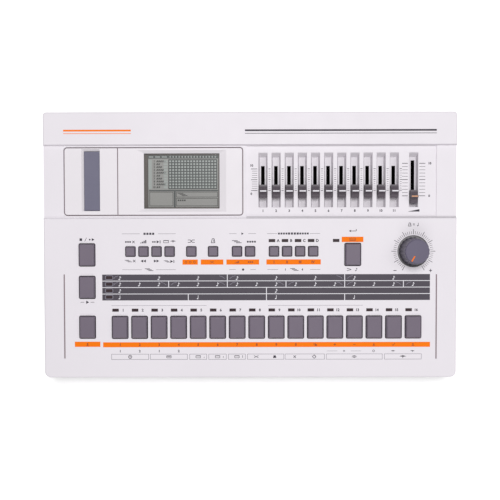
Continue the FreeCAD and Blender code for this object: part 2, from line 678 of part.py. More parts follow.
def make_fader(u, rest):
    """The finger cap with its hollow-ground ridge, and the flat lever that it's pushed onto."""
    low = WELL_FLOOR_W + CAP_FLOOR_GAP
    end = FIELD_W + CAP_END_RISE
    ridge = FIELD_W + CAP_RIDGE_RISE
    half = CAP_LENGTH / 2
    hollow_v = (half + CAP_RIDGE_HALF) / 2 - CAP_HOLLOW
    hollow_w = (end + ridge) / 2 - CAP_HOLLOW
    x0 = u - CAP_WIDTH / 2
    front = [Vector(x0, rest - half, low), Vector(x0, rest - half, end)]
    front_arc = Part.Arc(front[1], Vector(x0, rest - hollow_v, hollow_w),
                         Vector(x0, rest - CAP_RIDGE_HALF, ridge))
    rear_arc = Part.Arc(Vector(x0, rest + CAP_RIDGE_HALF, ridge), Vector(x0, rest + hollow_v, hollow_w),
                        Vector(x0, rest + half, end))
    edges = [Part.LineSegment(front[0], front[1]).toShape(), front_arc.toShape(),
             Part.LineSegment(front_arc.EndPoint, rear_arc.StartPoint).toShape(), rear_arc.toShape(),
             Part.LineSegment(rear_arc.EndPoint, Vector(x0, rest + half, low)).toShape(),
             Part.LineSegment(Vector(x0, rest + half, low), front[0]).toShape()]
    cap = Part.Face(Part.Wire(edges)).extrude(Vector(CAP_WIDTH, 0, 0))
    lean = (CAP_WIDTH - CAP_FOOT_WIDTH) / 2
    sides = tapered((u - CAP_FOOT_WIDTH / 2, u + CAP_FOOT_WIDTH / 2, rest - half, rest + half),
                    (u - CAP_FOOT_WIDTH / 2 - 2 * lean, u + CAP_FOOT_WIDTH / 2 + 2 * lean,
                     rest - half, rest + half), low, low + 2 * (FIELD_W - low))
    slim = cap.common(sides.fuse(block(u - CAP_WIDTH, u + CAP_WIDTH, rest - half, rest + half,
                                       FIELD_W, ridge)))
    slim = slim.removeSplitter()
    outline = [edge for edge in slim.Edges if edge.BoundBox.XLength < 0.01 and edge.BoundBox.ZMin > FIELD_W]
    slim = slim.makeFillet(CAP_ROUND, outline)
    top = FIELD_W + LEVER_RISE
    socket = block(u - LEVER_WIDTH / 2 - LEVER_GAP, u + LEVER_WIDTH / 2 + LEVER_GAP,
                   rest - LEVER_LENGTH / 2 - LEVER_GAP, rest + LEVER_LENGTH / 2 + LEVER_GAP, low - 1, top)
    lever = block(u - LEVER_WIDTH / 2, u + LEVER_WIDTH / 2, rest - LEVER_LENGTH / 2,
                  rest + LEVER_LENGTH / 2, POT_BOTTOM + POT_FLOOR + 0.4, top)
    return [on_slope(slim.cut(socket)), on_slope(lever)]


def make_fader_pot(u, rest, travel):
    middle = rest + travel / 2
    half_length = travel / 2 + POT_END
    body = block(u - POT_WIDTH / 2, u + POT_WIDTH / 2, middle - half_length, middle + half_length,
                 POT_BOTTOM, POT_TOP)
    room = LEVER_LENGTH / 2 + POT_END_ROOM
    half_slot = LEVER_WIDTH / 2 + POT_SIDE_ROOM
    track = block(u - half_slot, u + half_slot, rest - room, rest + travel + room,
                  POT_BOTTOM + POT_FLOOR, POT_TOP + 1)
    return on_slope(body.cut(track))


# Tempo knob

def make_tempo_knob():
    """The fluted cap, hollow underneath, and the potentiometer shaft pushed into its hub."""
    foot = -KNOB_WELL_DEPTH + KNOB_FLOOR_GAP
    centre = Vector(KNOB_U, KNOB_V, foot)
    height = KNOB_HEIGHT - foot
    body = Part.makeCone(KNOB_BASE_RADIUS, KNOB_TOP_RADIUS, height, centre, UP)
    lean = math.degrees(math.atan((KNOB_BASE_RADIUS - KNOB_TOP_RADIUS) / height))
    offset = KNOB_BASE_RADIUS + KNOB_FLUTE_RADIUS - KNOB_FLUTE_DEPTH
    flutes = []
    for i in range(KNOB_FLUTES):
        flute = Part.makeCylinder(KNOB_FLUTE_RADIUS, height * 1.2, Vector(offset, 0, -1), UP)
        flute.rotate(Vector(offset, 0, 0), Vector(0, 1, 0), -lean)
        flute.rotate(Vector(0, 0, 0), UP, 360.0 / KNOB_FLUTES * i)
        flute.translate(centre)
        flutes.append(flute)
    body = body.cut(flutes)
    crown = Part.makeCone(KNOB_TOP_RADIUS + 4 * KNOB_ROUND, KNOB_TOP_RADIUS - KNOB_ROUND, 5 * KNOB_ROUND,
                          Vector(KNOB_U, KNOB_V, KNOB_HEIGHT - 5 * KNOB_ROUND), UP)
    column = rod(KNOB_BASE_RADIUS + 1, centre, Vector(KNOB_U, KNOB_V, KNOB_HEIGHT - 5 * KNOB_ROUND))
    body = body.common(crown.fuse(column))
    inner_top = KNOB_HEIGHT - KNOB_CAP_THICKNESS
    inner = Part.makeCone(KNOB_BASE_RADIUS - KNOB_SHELL, KNOB_TOP_RADIUS - KNOB_SHELL, inner_top - foot,
                          centre, UP)
    hub = rod(KNOB_HUB_RADIUS, Vector(KNOB_U, KNOB_V, foot + 1), Vector(KNOB_U, KNOB_V, inner_top + 0.5))
    bore = rod(SHAFT_RADIUS + SHAFT_GAP, Vector(KNOB_U, KNOB_V, foot), Vector(KNOB_U, KNOB_V, SHAFT_TOP))
    knob = fused([body.cut(inner), hub]).cut(bore)
    shaft = rod(SHAFT_RADIUS, Vector(KNOB_U, KNOB_V, SHAFT_BOTTOM), Vector(KNOB_U, KNOB_V, SHAFT_TOP))
    return [on_slope(knob), on_slope(shaft)]


def make_tempo_pot():
    body = rod(POT_BODY_RADIUS, Vector(KNOB_U, KNOB_V, KEY_BOARD_TOP), Vector(KNOB_U, KNOB_V, POT_BODY_TOP))
    hole = rod(SHAFT_RADIUS + SHAFT_GAP, Vector(KNOB_U, KNOB_V, SHAFT_BOTTOM - 0.4),
               Vector(KNOB_U, KNOB_V, 0))
    return on_slope(body.cut(hole))


# Insert plate, window, display and shutter

def make_insert_bezel():
    """The plate set in the band: cartridge slot with its chute, and the framed display opening."""
    gap = INSERT_GROOVE / 2
    plate = round_rect(INSERT_LEFT + gap, INSERT_RIGHT - gap, INSERT_FRONT + gap, INSERT_REAR - gap,
                       INSERT_CORNER - gap, INSERT_BOTTOM, BAND_W)
    rim = [edge for edge in plate.Edges if edge.BoundBox.ZMin > BAND_W - 0.001]
    plate = plate.makeChamfer(INSERT_EDGE_BREAK, rim)
    chute = block(SLOT_LEFT - CHUTE_WALL, SLOT_RIGHT + CHUTE_WALL, SLOT_FRONT - CHUTE_WALL,
                  SLOT_REAR + CHUTE_WALL, CHUTE_BOTTOM, INSERT_BOTTOM)
    slot = (SLOT_LEFT, SLOT_RIGHT, SLOT_FRONT, SLOT_REAR)
    wide = (SLOT_LEFT - 2 * SLOT_BEVEL, SLOT_RIGHT + 0.001, SLOT_FRONT - 0.3, SLOT_REAR + 2 * SLOT_BEVEL)
    bevel = tapered(slot, wide, INSERT_BOTTOM, BAND_W + INSERT_THICKNESS)
    window = (WINDOW_LEFT, WINDOW_RIGHT, WINDOW_FRONT, WINDOW_REAR)
    frame = (WINDOW_LEFT - 2 * WINDOW_SIDE_BEVEL, WINDOW_RIGHT + 2 * WINDOW_SIDE_BEVEL,
             WINDOW_FRONT - 2 * WINDOW_END_BEVEL, WINDOW_REAR + 2 * WINDOW_END_BEVEL)
    cuts = [block(*slot, CHUTE_BOTTOM - 1, 1), bevel,
            tapered(window, frame, INSERT_BOTTOM, BAND_W + INSERT_THICKNESS),
            block(*window, INSERT_BOTTOM - 1, 0)]
    half = DIVIDER_WIDTH / 2
    cuts.append(block(DIVIDER_U - half, DIVIDER_U + half, INSERT_FRONT - 1, INSERT_REAR + 1,
                      BAND_W - DIVIDER_DEPTH, 1))
    cuts.append(hinge_rod(HINGE_PIN_RADIUS + HINGE_FIT, HINGE_PIN_REACH + 0.1))
    return on_slope(fused([plate, chute]).cut(cuts))


def hinge_rod(radius, reach):
    u = SLOT_LEFT + HINGE_INSET
    return rod(radius, Vector(u, SLOT_FRONT - reach, HINGE_W), Vector(u, SLOT_REAR + reach, HINGE_W))


def make_shutter():
    """The flap that closes the slot, on a pin along its left edge."""
    plate = block(SLOT_LEFT + SHUTTER_GAP, SLOT_RIGHT - SHUTTER_GAP, SLOT_FRONT + SHUTTER_GAP,
                  SLOT_REAR - SHUTTER_GAP, SHUTTER_TOP - SHUTTER_THICKNESS, SHUTTER_TOP)
    u = SLOT_LEFT + HINGE_INSET
    knuckle = rod(KNUCKLE_RADIUS, Vector(u, SLOT_FRONT + SHUTTER_GAP, HINGE_W),
                  Vector(u, SLOT_REAR - SHUTTER_GAP, HINGE_W))
    web = block(u - HINGE_WEB, u + HINGE_WEB, SLOT_FRONT + SHUTTER_GAP, SLOT_REAR - SHUTTER_GAP,
                HINGE_W, SHUTTER_TOP)
    return on_slope(fused([plate, knuckle, web, hinge_rod(HINGE_PIN_RADIUS, HINGE_PIN_REACH)]))


def make_display_window():
    pane = grown((WINDOW_LEFT, WINDOW_RIGHT, WINDOW_FRONT, WINDOW_REAR), WINDOW_LIP)
    return on_slope(block(*pane, INSERT_BOTTOM - WINDOW_THICKNESS, INSERT_BOTTOM))


def make_display_module():
    """The display glass, its frame and its small board."""
    glass = grown((WINDOW_LEFT, WINDOW_RIGHT, WINDOW_FRONT, WINDOW_REAR), 1.0)
    outside = grown(glass, DISPLAY_FRAME)
    back = GLASS_TOP - DISPLAY_DEPTH
    pane = block(*glass, GLASS_TOP - GLASS_THICKNESS, GLASS_TOP)
    frame = block(*outside, back, GLASS_TOP - 0.6)
    frame = frame.cut(block(*glass, GLASS_TOP - GLASS_THICKNESS, GLASS_TOP + 1))
    board = block(*outside, back - BOARD_THICKNESS, back)
    return [on_slope(pane), on_slope(frame), on_slope(board)]


# Lamps

def make_lamps():
    lamps = []
    for u, v in lamp_places():
        lens = round_rect(u - LAMP_LENGTH / 2, u + LAMP_LENGTH / 2, v - LAMP_WIDTH / 2,
                          v + LAMP_WIDTH / 2, LAMP_ROUND, KEY_BOARD_TOP, LAMP_RISE)
        lamps.append(on_slope(lens))
    return lamps


# Boards

def make_circuit_boards():
    top = MAIN_BOARD_Z + BOARD_THICKNESS
    inner_y = REAR_Y - WALL
    low = CHUTE_BOTTOM - CONNECTOR_HEIGHT
    boards = [on_slope(block(*KEY_BOARD, KEY_BOARD_TOP - BOARD_THICKNESS, KEY_BOARD_TOP)),
              on_slope(block(*FADER_BOARD, POT_BOTTOM - BOARD_THICKNESS, POT_BOTTOM)),
              block(*MAIN_BOARD, MAIN_BOARD_Z, top)]
    for x, y, length, width in CHIPS:
        chip = block(x - length / 2, x + length / 2, y - width / 2, y + width / 2, top, top + CHIP_HEIGHT)
        boards.append(chip)
    boards.append(block(*SOCKET_BOARD_X, inner_y - SOCKET_BOARD_LENGTH, inner_y - 1.0,
                        SOCKET_LOW_Z - BOARD_THICKNESS, SOCKET_LOW_Z))
    connector = block(SLOT_LEFT + 1, SLOT_RIGHT - 1, SLOT_FRONT + 2, SLOT_REAR - 2, low, CHUTE_BOTTOM)
    contacts = block(SLOT_LEFT + 6, SLOT_RIGHT - 6, SLOT_FRONT + 5, SLOT_REAR - 5,
                     CHUTE_BOTTOM - CONTACT_DEPTH, CHUTE_BOTTOM + 1)
    boards.append(on_slope(connector.cut(contacts)))
    boards.append(on_slope(block(SLOT_LEFT - 8, SLOT_RIGHT + 8, SLOT_FRONT - 2, SLOT_REAR - 0.5,
                                 low - BOARD_THICKNESS, low)))
    return boards


def make_control_bodies():
    bodies = [make_switch(u, v, BIG_KEY) for _, u, v in big_key_places()]
    bodies += [make_switch(u, v, SMALL_KEY) for _, u, v in small_key_places()]
    bodies += [make_fader_pot(*place) for place in all_fader_places()]
    bodies.append(make_tempo_pot())
    bodies.append(make_power_switch())
    return bodies


# Rear panel and sockets

def bore_y(radius, x, y0, y1):
    return rod(radius, Vector(x, y0, SOCKET_Z), Vector(x, y1, SOCKET_Z))


def make_rear_panel():
    plate = block(REAR_PANEL_LEFT, REAR_PANEL_RIGHT, REAR_Y - REAR_PLATE, REAR_Y, REAR_PANEL_LOW,
                  REAR_PANEL_HIGH)
    y0 = REAR_Y - REAR_PLATE - 1
    y1 = REAR_Y + 1
    cuts = [bore_y(QUARTER_BUSH + PLATE_HOLE_GAP, x, y0, y1) for x in quarter_places()]
    cuts += [bore_y(MINI_BUSH + PLATE_HOLE_GAP, x, y0, y1) for x in MINI_X]
    cuts += [bore_y(DIN_FACE + PLATE_HOLE_GAP, x, y0, y1) for x in DIN_X]
    half = POWER_INLET_HALF + PLATE_HOLE_GAP
    cuts.append(block(POWER_INLET_X - half, POWER_INLET_X + half, y0, y1, SOCKET_Z - half, SOCKET_Z + half))
    half = POWER_BUTTON_SIZE / 2 + PLATE_HOLE_GAP
    cuts.append(block(POWER_BUTTON_X - half, POWER_BUTTON_X + half, y0, y1, SOCKET_Z - half,
                      SOCKET_Z + half))
    cuts += [rod(SCREW_SHANK_RADIUS + PLATE_SCREW_ROOM, Vector(x, y0, z), Vector(x, y1, z))
             for x, z in rear_screw_places()]
    return plate.cut(cuts)


def make_quarter_socket(x):
    half = QUARTER_BODY / 2
    body = block(x - half, x + half, PLATE_BACK_Y - SOCKET_BODY_BACK, PLATE_BACK_Y, SOCKET_Z - half,
                 SOCKET_Z + half)
    bush = bore_y(QUARTER_BUSH, x, PLATE_BACK_Y - 1, DEPTH / 2)
    bore = bore_y(QUARTER_BORE, x, DEPTH / 2 - QUARTER_DEPTH, DEPTH / 2 + 1)
    return fused([body, bush]).cut(bore)


def make_mini_socket(x):
    half = MINI_BODY / 2
    mouth = REAR_Y + MINI_REACH
    body = block(x - half, x + half, PLATE_BACK_Y - MINI_BODY_BACK, PLATE_BACK_Y, SOCKET_LOW_Z,
                 SOCKET_Z + half)
    bush = bore_y(MINI_BUSH, x, PLATE_BACK_Y - 1, mouth)
    return fused([body, bush]).cut(bore_y(MINI_BORE, x, mouth - MINI_DEPTH, mouth + 1))


def make_din_socket(x):
    half = DIN_BODY / 2
    body = block(x - half, x + half, PLATE_BACK_Y - DIN_BODY_BACK, PLATE_BACK_Y, SOCKET_LOW_Z,
                 SOCKET_Z + half)
    face = REAR_Y + DIN_REACH
    round_face = bore_y(DIN_FACE, x, PLATE_BACK_Y - 1, face)
    ring = bore_y(DIN_SHIELD_OUTER, x, face - DIN_DEPTH, face + 1)
    ring = ring.cut(bore_y(DIN_SHIELD_INNER, x, face - DIN_DEPTH - 1, face + 2))
    pins = []
    for angle in DIN_PIN_ANGLES:
        px = x + DIN_PIN_CIRCLE * math.cos(math.radians(angle))
        pz = SOCKET_Z - DIN_PIN_CIRCLE * math.sin(math.radians(angle))
        pins.append(rod(DIN_PIN_HOLE, Vector(px, face - DIN_DEPTH, pz), Vector(px, face + 1, pz)))
    return fused([body, round_face]).cut([ring] + pins)


def make_power_inlet():
    x = POWER_INLET_X
    half = POWER_INLET_HALF
    back = PLATE_BACK_Y - POWER_INLET_BACK
    body = block(x - half, x + half, back, REAR_Y + POWER_INLET_REACH, SOCKET_Z - half, SOCKET_Z + half)
    leg = block(x - half, x + half, back, PLATE_BACK_Y - 1, SOCKET_LOW_Z, SOCKET_Z - half + 0.5)
    hole = bore_y(POWER_INLET_RADIUS, x, REAR_Y - POWER_INLET_DEPTH, REAR_Y + 1)
    pin = bore_y(POWER_PIN_RADIUS, x, REAR_Y - POWER_INLET_DEPTH - 1, REAR_Y - POWER_PIN_SINK)
    return fused([body, leg]).cut(hole.cut(pin))


def make_rear_sockets():
    sockets = [make_quarter_socket(x) for x in quarter_places()]
    sockets += [make_mini_socket(x) for x in MINI_X]
    sockets += [make_din_socket(x) for x in DIN_X]
    sockets.append(make_power_inlet())
    return sockets


def make_power_button():
    half = POWER_BUTTON_SIZE / 2
    x = POWER_BUTTON_X
    cap = block(x - half, x + half, PLATE_BACK_Y - POWER_CAP_BACK, REAR_Y + POWER_BUTTON_REACH,
                SOCKET_Z - half, SOCKET_Z + half)
    cap = cap.makeFillet(POWER_BUTTON_ROUND, [edge for edge in cap.Edges if edge.BoundBox.YMin > REAR_Y])
    stem = bore_y(POWER_STEM_RADIUS, x, PLATE_BACK_Y - POWER_STEM_BACK, PLATE_BACK_Y - POWER_CAP_BACK + 1)
    wide = half + POWER_COLLAR
    collar = block(x - wide, x + wide, PLATE_BACK_Y - POWER_COLLAR_BACK, PLATE_BACK_Y - POWER_COLLAR_GAP,
                   SOCKET_Z - wide, SOCKET_Z + wide)
    return fused([cap, stem, collar])


def make_power_switch():
    half = POWER_SWITCH_HALF
    x = POWER_BUTTON_X
    pushed = PLATE_BACK_Y - POWER_BUTTON_TRAVEL - POWER_SWITCH_ROOM
    front = pushed - POWER_CAP_BACK
    body = block(x - half, x + half, front - POWER_SWITCH_LENGTH, front, SOCKET_Z - half, SOCKET_Z + half)
    hole = bore_y(POWER_STEM_RADIUS + STEM_CLEARANCE, x, pushed - POWER_STEM_BACK, REAR_Y)
    return body.cut(hole)


# Fasteners

def hex_nut(x, across, radius, y0, height):
    outline = []
    for i in range(7):
        angle = math.radians(60 * i + 30)
        corner = across / 2 / math.cos(math.radians(30))
        outline.append(Vector(x + corner * math.cos(angle), y0, SOCKET_Z + corner * math.sin(angle)))
    nut = Part.Face(Part.makePolygon(outline)).extrude(Vector(0, height, 0))
    return nut.cut(bore_y(radius, x, y0 - 1, y0 + height + 1))


def washer(x, outer, inner, y0, height):
    return bore_y(outer, x, y0, y0 + height).cut(bore_y(inner, x, y0 - 1, y0 + height + 1))


def case_screw(x, y):
    seat = FOOT_HEIGHT + SCREW_RECESS
    head = Part.makeCylinder(SCREW_HEAD_RADIUS, SCREW_HEAD_HEIGHT, Vector(x, y, seat))
    shank = Part.makeCylinder(SCREW_SHANK_RADIUS, SCREW_LENGTH, Vector(x, y, seat + 0.5))
    slots = cross_recess(x, y).translate(Vector(0, 0, seat))
    return head.fuse(shank).removeSplitter().cut(slots)


def cross_recess(x, y):
    half = CROSS_LENGTH / 2
    thin = CROSS_WIDTH / 2
    first = block(x - half, x + half, y - thin, y + thin, -1, CROSS_DEPTH)
    second = block(x - thin, x + thin, y - half, y + half, -1, CROSS_DEPTH)
    return first.fuse(second)


def rear_screw(x, z):
    outer_y = REAR_Y + REAR_SCREW_HEAD
    head = rod(SCREW_HEAD_RADIUS, Vector(x, REAR_Y, z), Vector(x, outer_y, z))
    shank = rod(SCREW_SHANK_RADIUS, Vector(x, REAR_Y - REAR_SCREW_LENGTH, z), Vector(x, REAR_Y + 0.5, z))
    recess = cross_recess(0, 0)
    recess.rotate(Vector(0, 0, 0), Vector(1, 0, 0), 90)
    recess.translate(Vector(x, outer_y, z))
    return head.fuse(shank).removeSplitter().cut(recess)


def make_fasteners():
    gap = NUT_FIT
    pieces = []
    for x in quarter_places():
        pieces.append(washer(x, WASHER_RADIUS, QUARTER_BUSH + gap, REAR_Y, WASHER_HEIGHT))
        pieces.append(hex_nut(x, 2 * QUARTER_NUT, QUARTER_BUSH + gap, REAR_Y + WASHER_HEIGHT, NUT_HEIGHT))
    for x in MINI_X:
        pieces.append(hex_nut(x, 2 * MINI_NUT, MINI_BUSH + gap, REAR_Y, MINI_NUT_HEIGHT))
    pieces += [case_screw(x, y) for x, y in SCREW_XY]
    pieces += [rear_screw(x, z) for x, z in rear_screw_places()]
    return pieces


# Write every node

save("top_case", make_top_case())
save("bottom_case", make_bottom_case())
save("battery_door", make_battery_door())
save("feet", make_feet())
save("insert_bezel", make_insert_bezel())
save("display_window", make_display_window())
save("display_module", make_display_module())
save("cartridge_shutter", make_shutter())
for name, u, v in big_key_places():
    save(name, make_key(u, v, BIG_KEY))
for name, u, v in small_key_places():
    save(name, make_key(u, v, SMALL_KEY))
for number, u in enumerate(fader_places(), 1):
    save("fader_%02d" % number, make_fader(u, FADER_REST_V))
save("fader_volume", make_fader(VOLUME_U, VOLUME_REST_V))
save("tempo_knob", make_tempo_knob())
save("lamps", make_lamps())
save("circuit_boards", make_circuit_boards())
save("control_bodies", make_control_bodies())
save("rear_panel", make_rear_panel())
save("rear_sockets", make_rear_sockets())
save("power_button", make_power_button())
save("fasteners", make_fasteners())
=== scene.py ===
import math

import bpy
from mathutils import Matrix, Vector


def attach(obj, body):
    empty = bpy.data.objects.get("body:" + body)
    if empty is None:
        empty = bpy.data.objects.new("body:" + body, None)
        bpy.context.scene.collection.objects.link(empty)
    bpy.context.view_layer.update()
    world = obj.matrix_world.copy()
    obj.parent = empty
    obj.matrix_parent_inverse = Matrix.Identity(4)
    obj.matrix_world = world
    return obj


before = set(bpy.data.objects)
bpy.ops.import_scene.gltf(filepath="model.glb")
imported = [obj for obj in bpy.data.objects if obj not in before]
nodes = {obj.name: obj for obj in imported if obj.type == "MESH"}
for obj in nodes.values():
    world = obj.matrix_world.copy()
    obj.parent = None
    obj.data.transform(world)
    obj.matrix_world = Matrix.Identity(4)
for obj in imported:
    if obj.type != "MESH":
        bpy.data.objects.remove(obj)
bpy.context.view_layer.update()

# Dressing for the drum machine: finishes for the CAD nodes, the printed markings, the display, the light.
# Places on the sloping top are given as u, v, w in millimetres, as in the CAD source: u to the right,
# v up the slope from the front lip, w square to the slope and out of the machine.


# The case
SLOPE = math.radians(9.5)
FRONT_Y = -125.0
REAR_Y = 116.0
REAR_HEIGHT = 73.0
RIM_RADIUS = 1.5
REAR_TOP_Z = REAR_HEIGHT + RIM_RADIUS * (math.tan(SLOPE) + 1 / math.cos(SLOPE) - 1)
FRONT_TOP_Z = REAR_TOP_Z - (REAR_Y - FRONT_Y) * math.tan(SLOPE)
BAND_W = -2.6
FIELD_W = -3.6

# How far printing lies over its surface, and over other printing
INK = 0.03
OVER = 0.05

# The controls
STEP_PITCH = 18.0
STEP_U = [-120.0 + STEP_PITCH * i for i in range(16)]
BUTTON_U = [-110.0, -98.0, -86.0, -74.0, -54.0, -34.0, -12.0, 0.0, 22.0, 34.0, 46.0, 58.0]
GROUP_U = BUTTON_U[8:]
FADER_PITCH = 12.1
FADER_U = [12.0 + FADER_PITCH * i for i in range(11)]
FADER_V = 171.6
VOLUME_U = 150.8
VOLUME_V = 166.6
KNOB_U, KNOB_V, KNOB_TOP = 150.0, 116.2, 16.2
KNOB_LOWEST = -150


# Materials

CLOUD_SCALE = 14.0
GLOSS_SCALE = 90.0
GLOSS_CHANGE = 0.06
NOISE_LOW, NOISE_HIGH = 0.3, 0.7


def tone(red, green, blue):
    """A colour written as 0 to 255 sRGB, as the shader's linear colour."""
    out = []
    for value in (red, green, blue):
        c = value / 255
        out.append(c / 12.92 if c <= 0.04045 else ((c + 0.055) / 1.055) ** 2.4)
    return tuple(out) + (1.0,)


def scaled(colour, by):
    """A colour made darker or lighter."""
    return tuple(min(1.0, c * by) for c in colour[:3]) + (1.0,)


def noise(tree, coords, scale, detail=2.0):
    """A noise value between 0 and 1, mostly between NOISE_LOW and NOISE_HIGH."""
    node = tree.nodes.new("ShaderNodeTexNoise")
    node.inputs["Scale"].default_value = scale
    node.inputs["Detail"].default_value = detail
    tree.links.new(coords, node.inputs["Vector"])
    return node.outputs["Fac"]


def spread(tree, value, low, high):
    """Map a noise value onto a range."""
    node = tree.nodes.new("ShaderNodeMapRange")
    node.inputs["From Min"].default_value = NOISE_LOW
    node.inputs["From Max"].default_value = NOISE_HIGH
    node.inputs["To Min"].default_value = low
    node.inputs["To Max"].default_value = high
    tree.links.new(value, node.inputs["Value"])
    return node.outputs["Result"]


def finish(name, colour, rough, grain, bump, cloud, metal=0.0, alpha=1.0, specular=0.4):
    """A surface with fine grain (its size in mm), slow changes of colour (cloud) and uneven gloss."""
    made = bpy.data.materials.new(name)
    made.use_nodes = True
    tree = made.node_tree
    shader = tree.nodes["Principled BSDF"]
    coords = tree.nodes.new("ShaderNodeTexCoord").outputs["Object"]

    ramp = tree.nodes.new("ShaderNodeValToRGB")
    ramp.color_ramp.elements[0].position = NOISE_LOW
    ramp.color_ramp.elements[1].position = NOISE_HIGH
    ramp.color_ramp.elements[0].color = scaled(colour, 1 - cloud)
    ramp.color_ramp.elements[1].color = scaled(colour, 1 + cloud)
    tree.links.new(noise(tree, coords, CLOUD_SCALE, 4.0), ramp.inputs["Fac"])
    tree.links.new(ramp.outputs["Color"], shader.inputs["Base Color"])

    gloss = noise(tree, coords, GLOSS_SCALE, 3.0)
    uneven = spread(tree, gloss, rough - GLOSS_CHANGE, rough + GLOSS_CHANGE)
    tree.links.new(uneven, shader.inputs["Roughness"])

    relief = tree.nodes.new("ShaderNodeBump")
    relief.inputs["Strength"].default_value = bump
    relief.inputs["Distance"].default_value = grain / 4 / 1000
    tree.links.new(noise(tree, coords, 1000 / grain, 2.0), relief.inputs["Height"])
    tree.links.new(relief.outputs["Normal"], shader.inputs["Normal"])

    shader.inputs["Metallic"].default_value = metal
    shader.inputs["Alpha"].default_value = alpha
    shader.inputs["Specular IOR Level"].default_value = specular
    return made


# The directions u, v and w, and the front lip that they are measured from
PLANE = {
    "u": Vector((1, 0, 0)),
    "v": Vector((0, math.cos(SLOPE), math.sin(SLOPE))),
    "w": Vector((0, -math.sin(SLOPE), math.cos(SLOPE))),
}
LIP = Vector((0, FRONT_Y, FRONT_TOP_Z))


def measured(tree, coords, way):
    """How far a point of the finish lies from the front lip along u, v or w, in millimetres."""
    moved = tree.nodes.new("ShaderNodeVectorMath")
    moved.operation = "SUBTRACT"
    moved.inputs[1].default_value = LIP / 1000
    tree.links.new(coords, moved.inputs[0])
    node = tree.nodes.new("ShaderNodeVectorMath")
    node.operation = "DOT_PRODUCT"
    node.inputs[1].default_value = PLANE[way] * 1000
    tree.links.new(moved.outputs["Vector"], node.inputs[0])
    return node.outputs["Value"]


def paint_shade(made, area, top, floor, shade):
    """Darken a finish with painted shade inside an area (u0, u1, v0, v1), more and more from top down to
    floor.
    """
    tree = made.node_tree
    target = tree.nodes["Principled BSDF"].inputs["Base Color"]
    coords = tree.nodes.new("ShaderNodeTexCoord").outputs["Object"]
    depth = tree.nodes.new("ShaderNodeMapRange")
    depth.inputs["From Min"].default_value = floor
    depth.inputs["From Max"].default_value = top
    depth.inputs["To Min"].default_value = 1.0
    depth.inputs["To Max"].default_value = 0.0
    tree.links.new(measured(tree, coords, "w"), depth.inputs["Value"])
    amount = depth.outputs["Result"]
    for way, low, high in (("u", area[0], area[1]), ("v", area[2], area[3])):
        inside = tree.nodes.new("ShaderNodeMath")
        inside.operation = "COMPARE"
        inside.inputs[1].default_value = (low + high) / 2
        inside.inputs[2].default_value = (high - low) / 2
        tree.links.new(measured(tree, coords, way), inside.inputs[0])
        both = tree.nodes.new("ShaderNodeMath")
        both.operation = "MULTIPLY"
        tree.links.new(amount, both.inputs[0])
        tree.links.new(inside.outputs["Value"], both.inputs[1])
        amount = both.outputs["Value"]
    factor = tree.nodes.new("ShaderNodeMapRange")
    factor.inputs["To Min"].default_value = 1.0
    factor.inputs["To Max"].default_value = shade
    tree.links.new(amount, factor.inputs["Value"])
    darker = tree.nodes.new("ShaderNodeVectorMath")
    darker.operation = "SCALE"
    tree.links.new(target.links[0].from_socket, darker.inputs[0])
    tree.links.new(factor.outputs["Result"], darker.inputs["Scale"])
    tree.links.new(darker.outputs["Vector"], target)


# Each finish has its colour, roughness, grain size, depth of grain and change of colour
case_plastic = finish("case_plastic", tone(232, 227, 233), 0.52, 0.45, 0.35, 0.012)
insert_plastic = finish("insert_plastic", tone(231, 226, 231), 0.46, 0.3, 0.2, 0.012)
key_plastic = finish("key_plastic", tone(115, 105, 119), 0.42, 0.35, 0.3, 0.04)
fader_plastic = finish("fader_plastic", tone(88, 80, 88), 0.4, 0.3, 0.2, 0.05)
knob_plastic = finish("knob_plastic", tone(101, 95, 115), 0.4, 0.3, 0.2, 0.04)
shutter_plastic = finish("shutter_plastic", tone(109, 107, 127), 0.5, 0.4, 0.3, 0.04)
button_plastic = finish("button_plastic", tone(60, 57, 62), 0.45, 0.35, 0.3, 0.05)
window_clear = finish("window_clear", tone(120, 122, 122), 0.1, 0.8, 0.0, 0.02, alpha=0.06)
display_body = finish("display_body", tone(46, 44, 46), 0.5, 0.4, 0.2, 0.05)
rear_plate = finish("rear_plate", tone(58, 56, 60), 0.42, 0.5, 0.35, 0.05, specular=0.5)
socket_plastic = finish("socket_plastic", tone(28, 27, 29), 0.45, 0.3, 0.2, 0.06)
board_green = finish("board", tone(24, 40, 30), 0.5, 0.8, 0.2, 0.12)
# The pot bodies are black, and their colour and gloss are pushed lower still as painted shade for the deep
# fader slots
control_plastic = finish("control_plastic", tone(6, 6, 6), 0.7, 0.4, 0.2, 0.05, specular=0.05)
lamp_lens = finish("lamp", tone(56, 42, 46), 0.4, 0.6, 0.1, 0.08, specular=0.25)
foot_rubber = finish("foot_rubber", tone(42, 41, 42), 0.8, 0.6, 0.6, 0.08)
steel = finish("steel", tone(196, 194, 190), 0.28, 0.5, 0.12, 0.04, metal=1.0)
under_plastic = finish("under_plastic", tone(214, 209, 215), 0.6, 0.5, 0.45, 0.02)

# Painted shade for the floor of the fine grooves
painted_groove_shade = finish("painted_groove_shade", tone(138, 122, 128), 0.6, 0.5, 0.15, 0.04)
dark_ink = finish("dark_ink", tone(54, 48, 60), 0.55, 0.5, 0.15, 0.04)
grey_ink = finish("grey_ink", tone(118, 112, 124), 0.55, 0.5, 0.15, 0.03)
pale_ink = finish("pale_ink", tone(232, 230, 236), 0.5, 0.5, 0.15, 0.02)
soft_ink = finish("soft_ink", tone(150, 146, 160), 0.5, 0.5, 0.15, 0.02)
strip_ink = finish("strip_ink", tone(73, 67, 77), 0.5, 0.5, 0.15, 0.03)
orange_ink = finish("orange_ink", tone(250, 122, 4), 0.55, 0.5, 0.15, 0.03, specular=0.15)
rust_ink = finish("rust_ink", tone(150, 66, 30), 0.5, 0.5, 0.15, 0.03)
tan_ink = finish("tan_ink", tone(206, 150, 112), 0.5, 0.5, 0.15, 0.03)
glass_ground = finish("display_ground", tone(153, 152, 149), 0.35, 0.6, 0.05, 0.05)
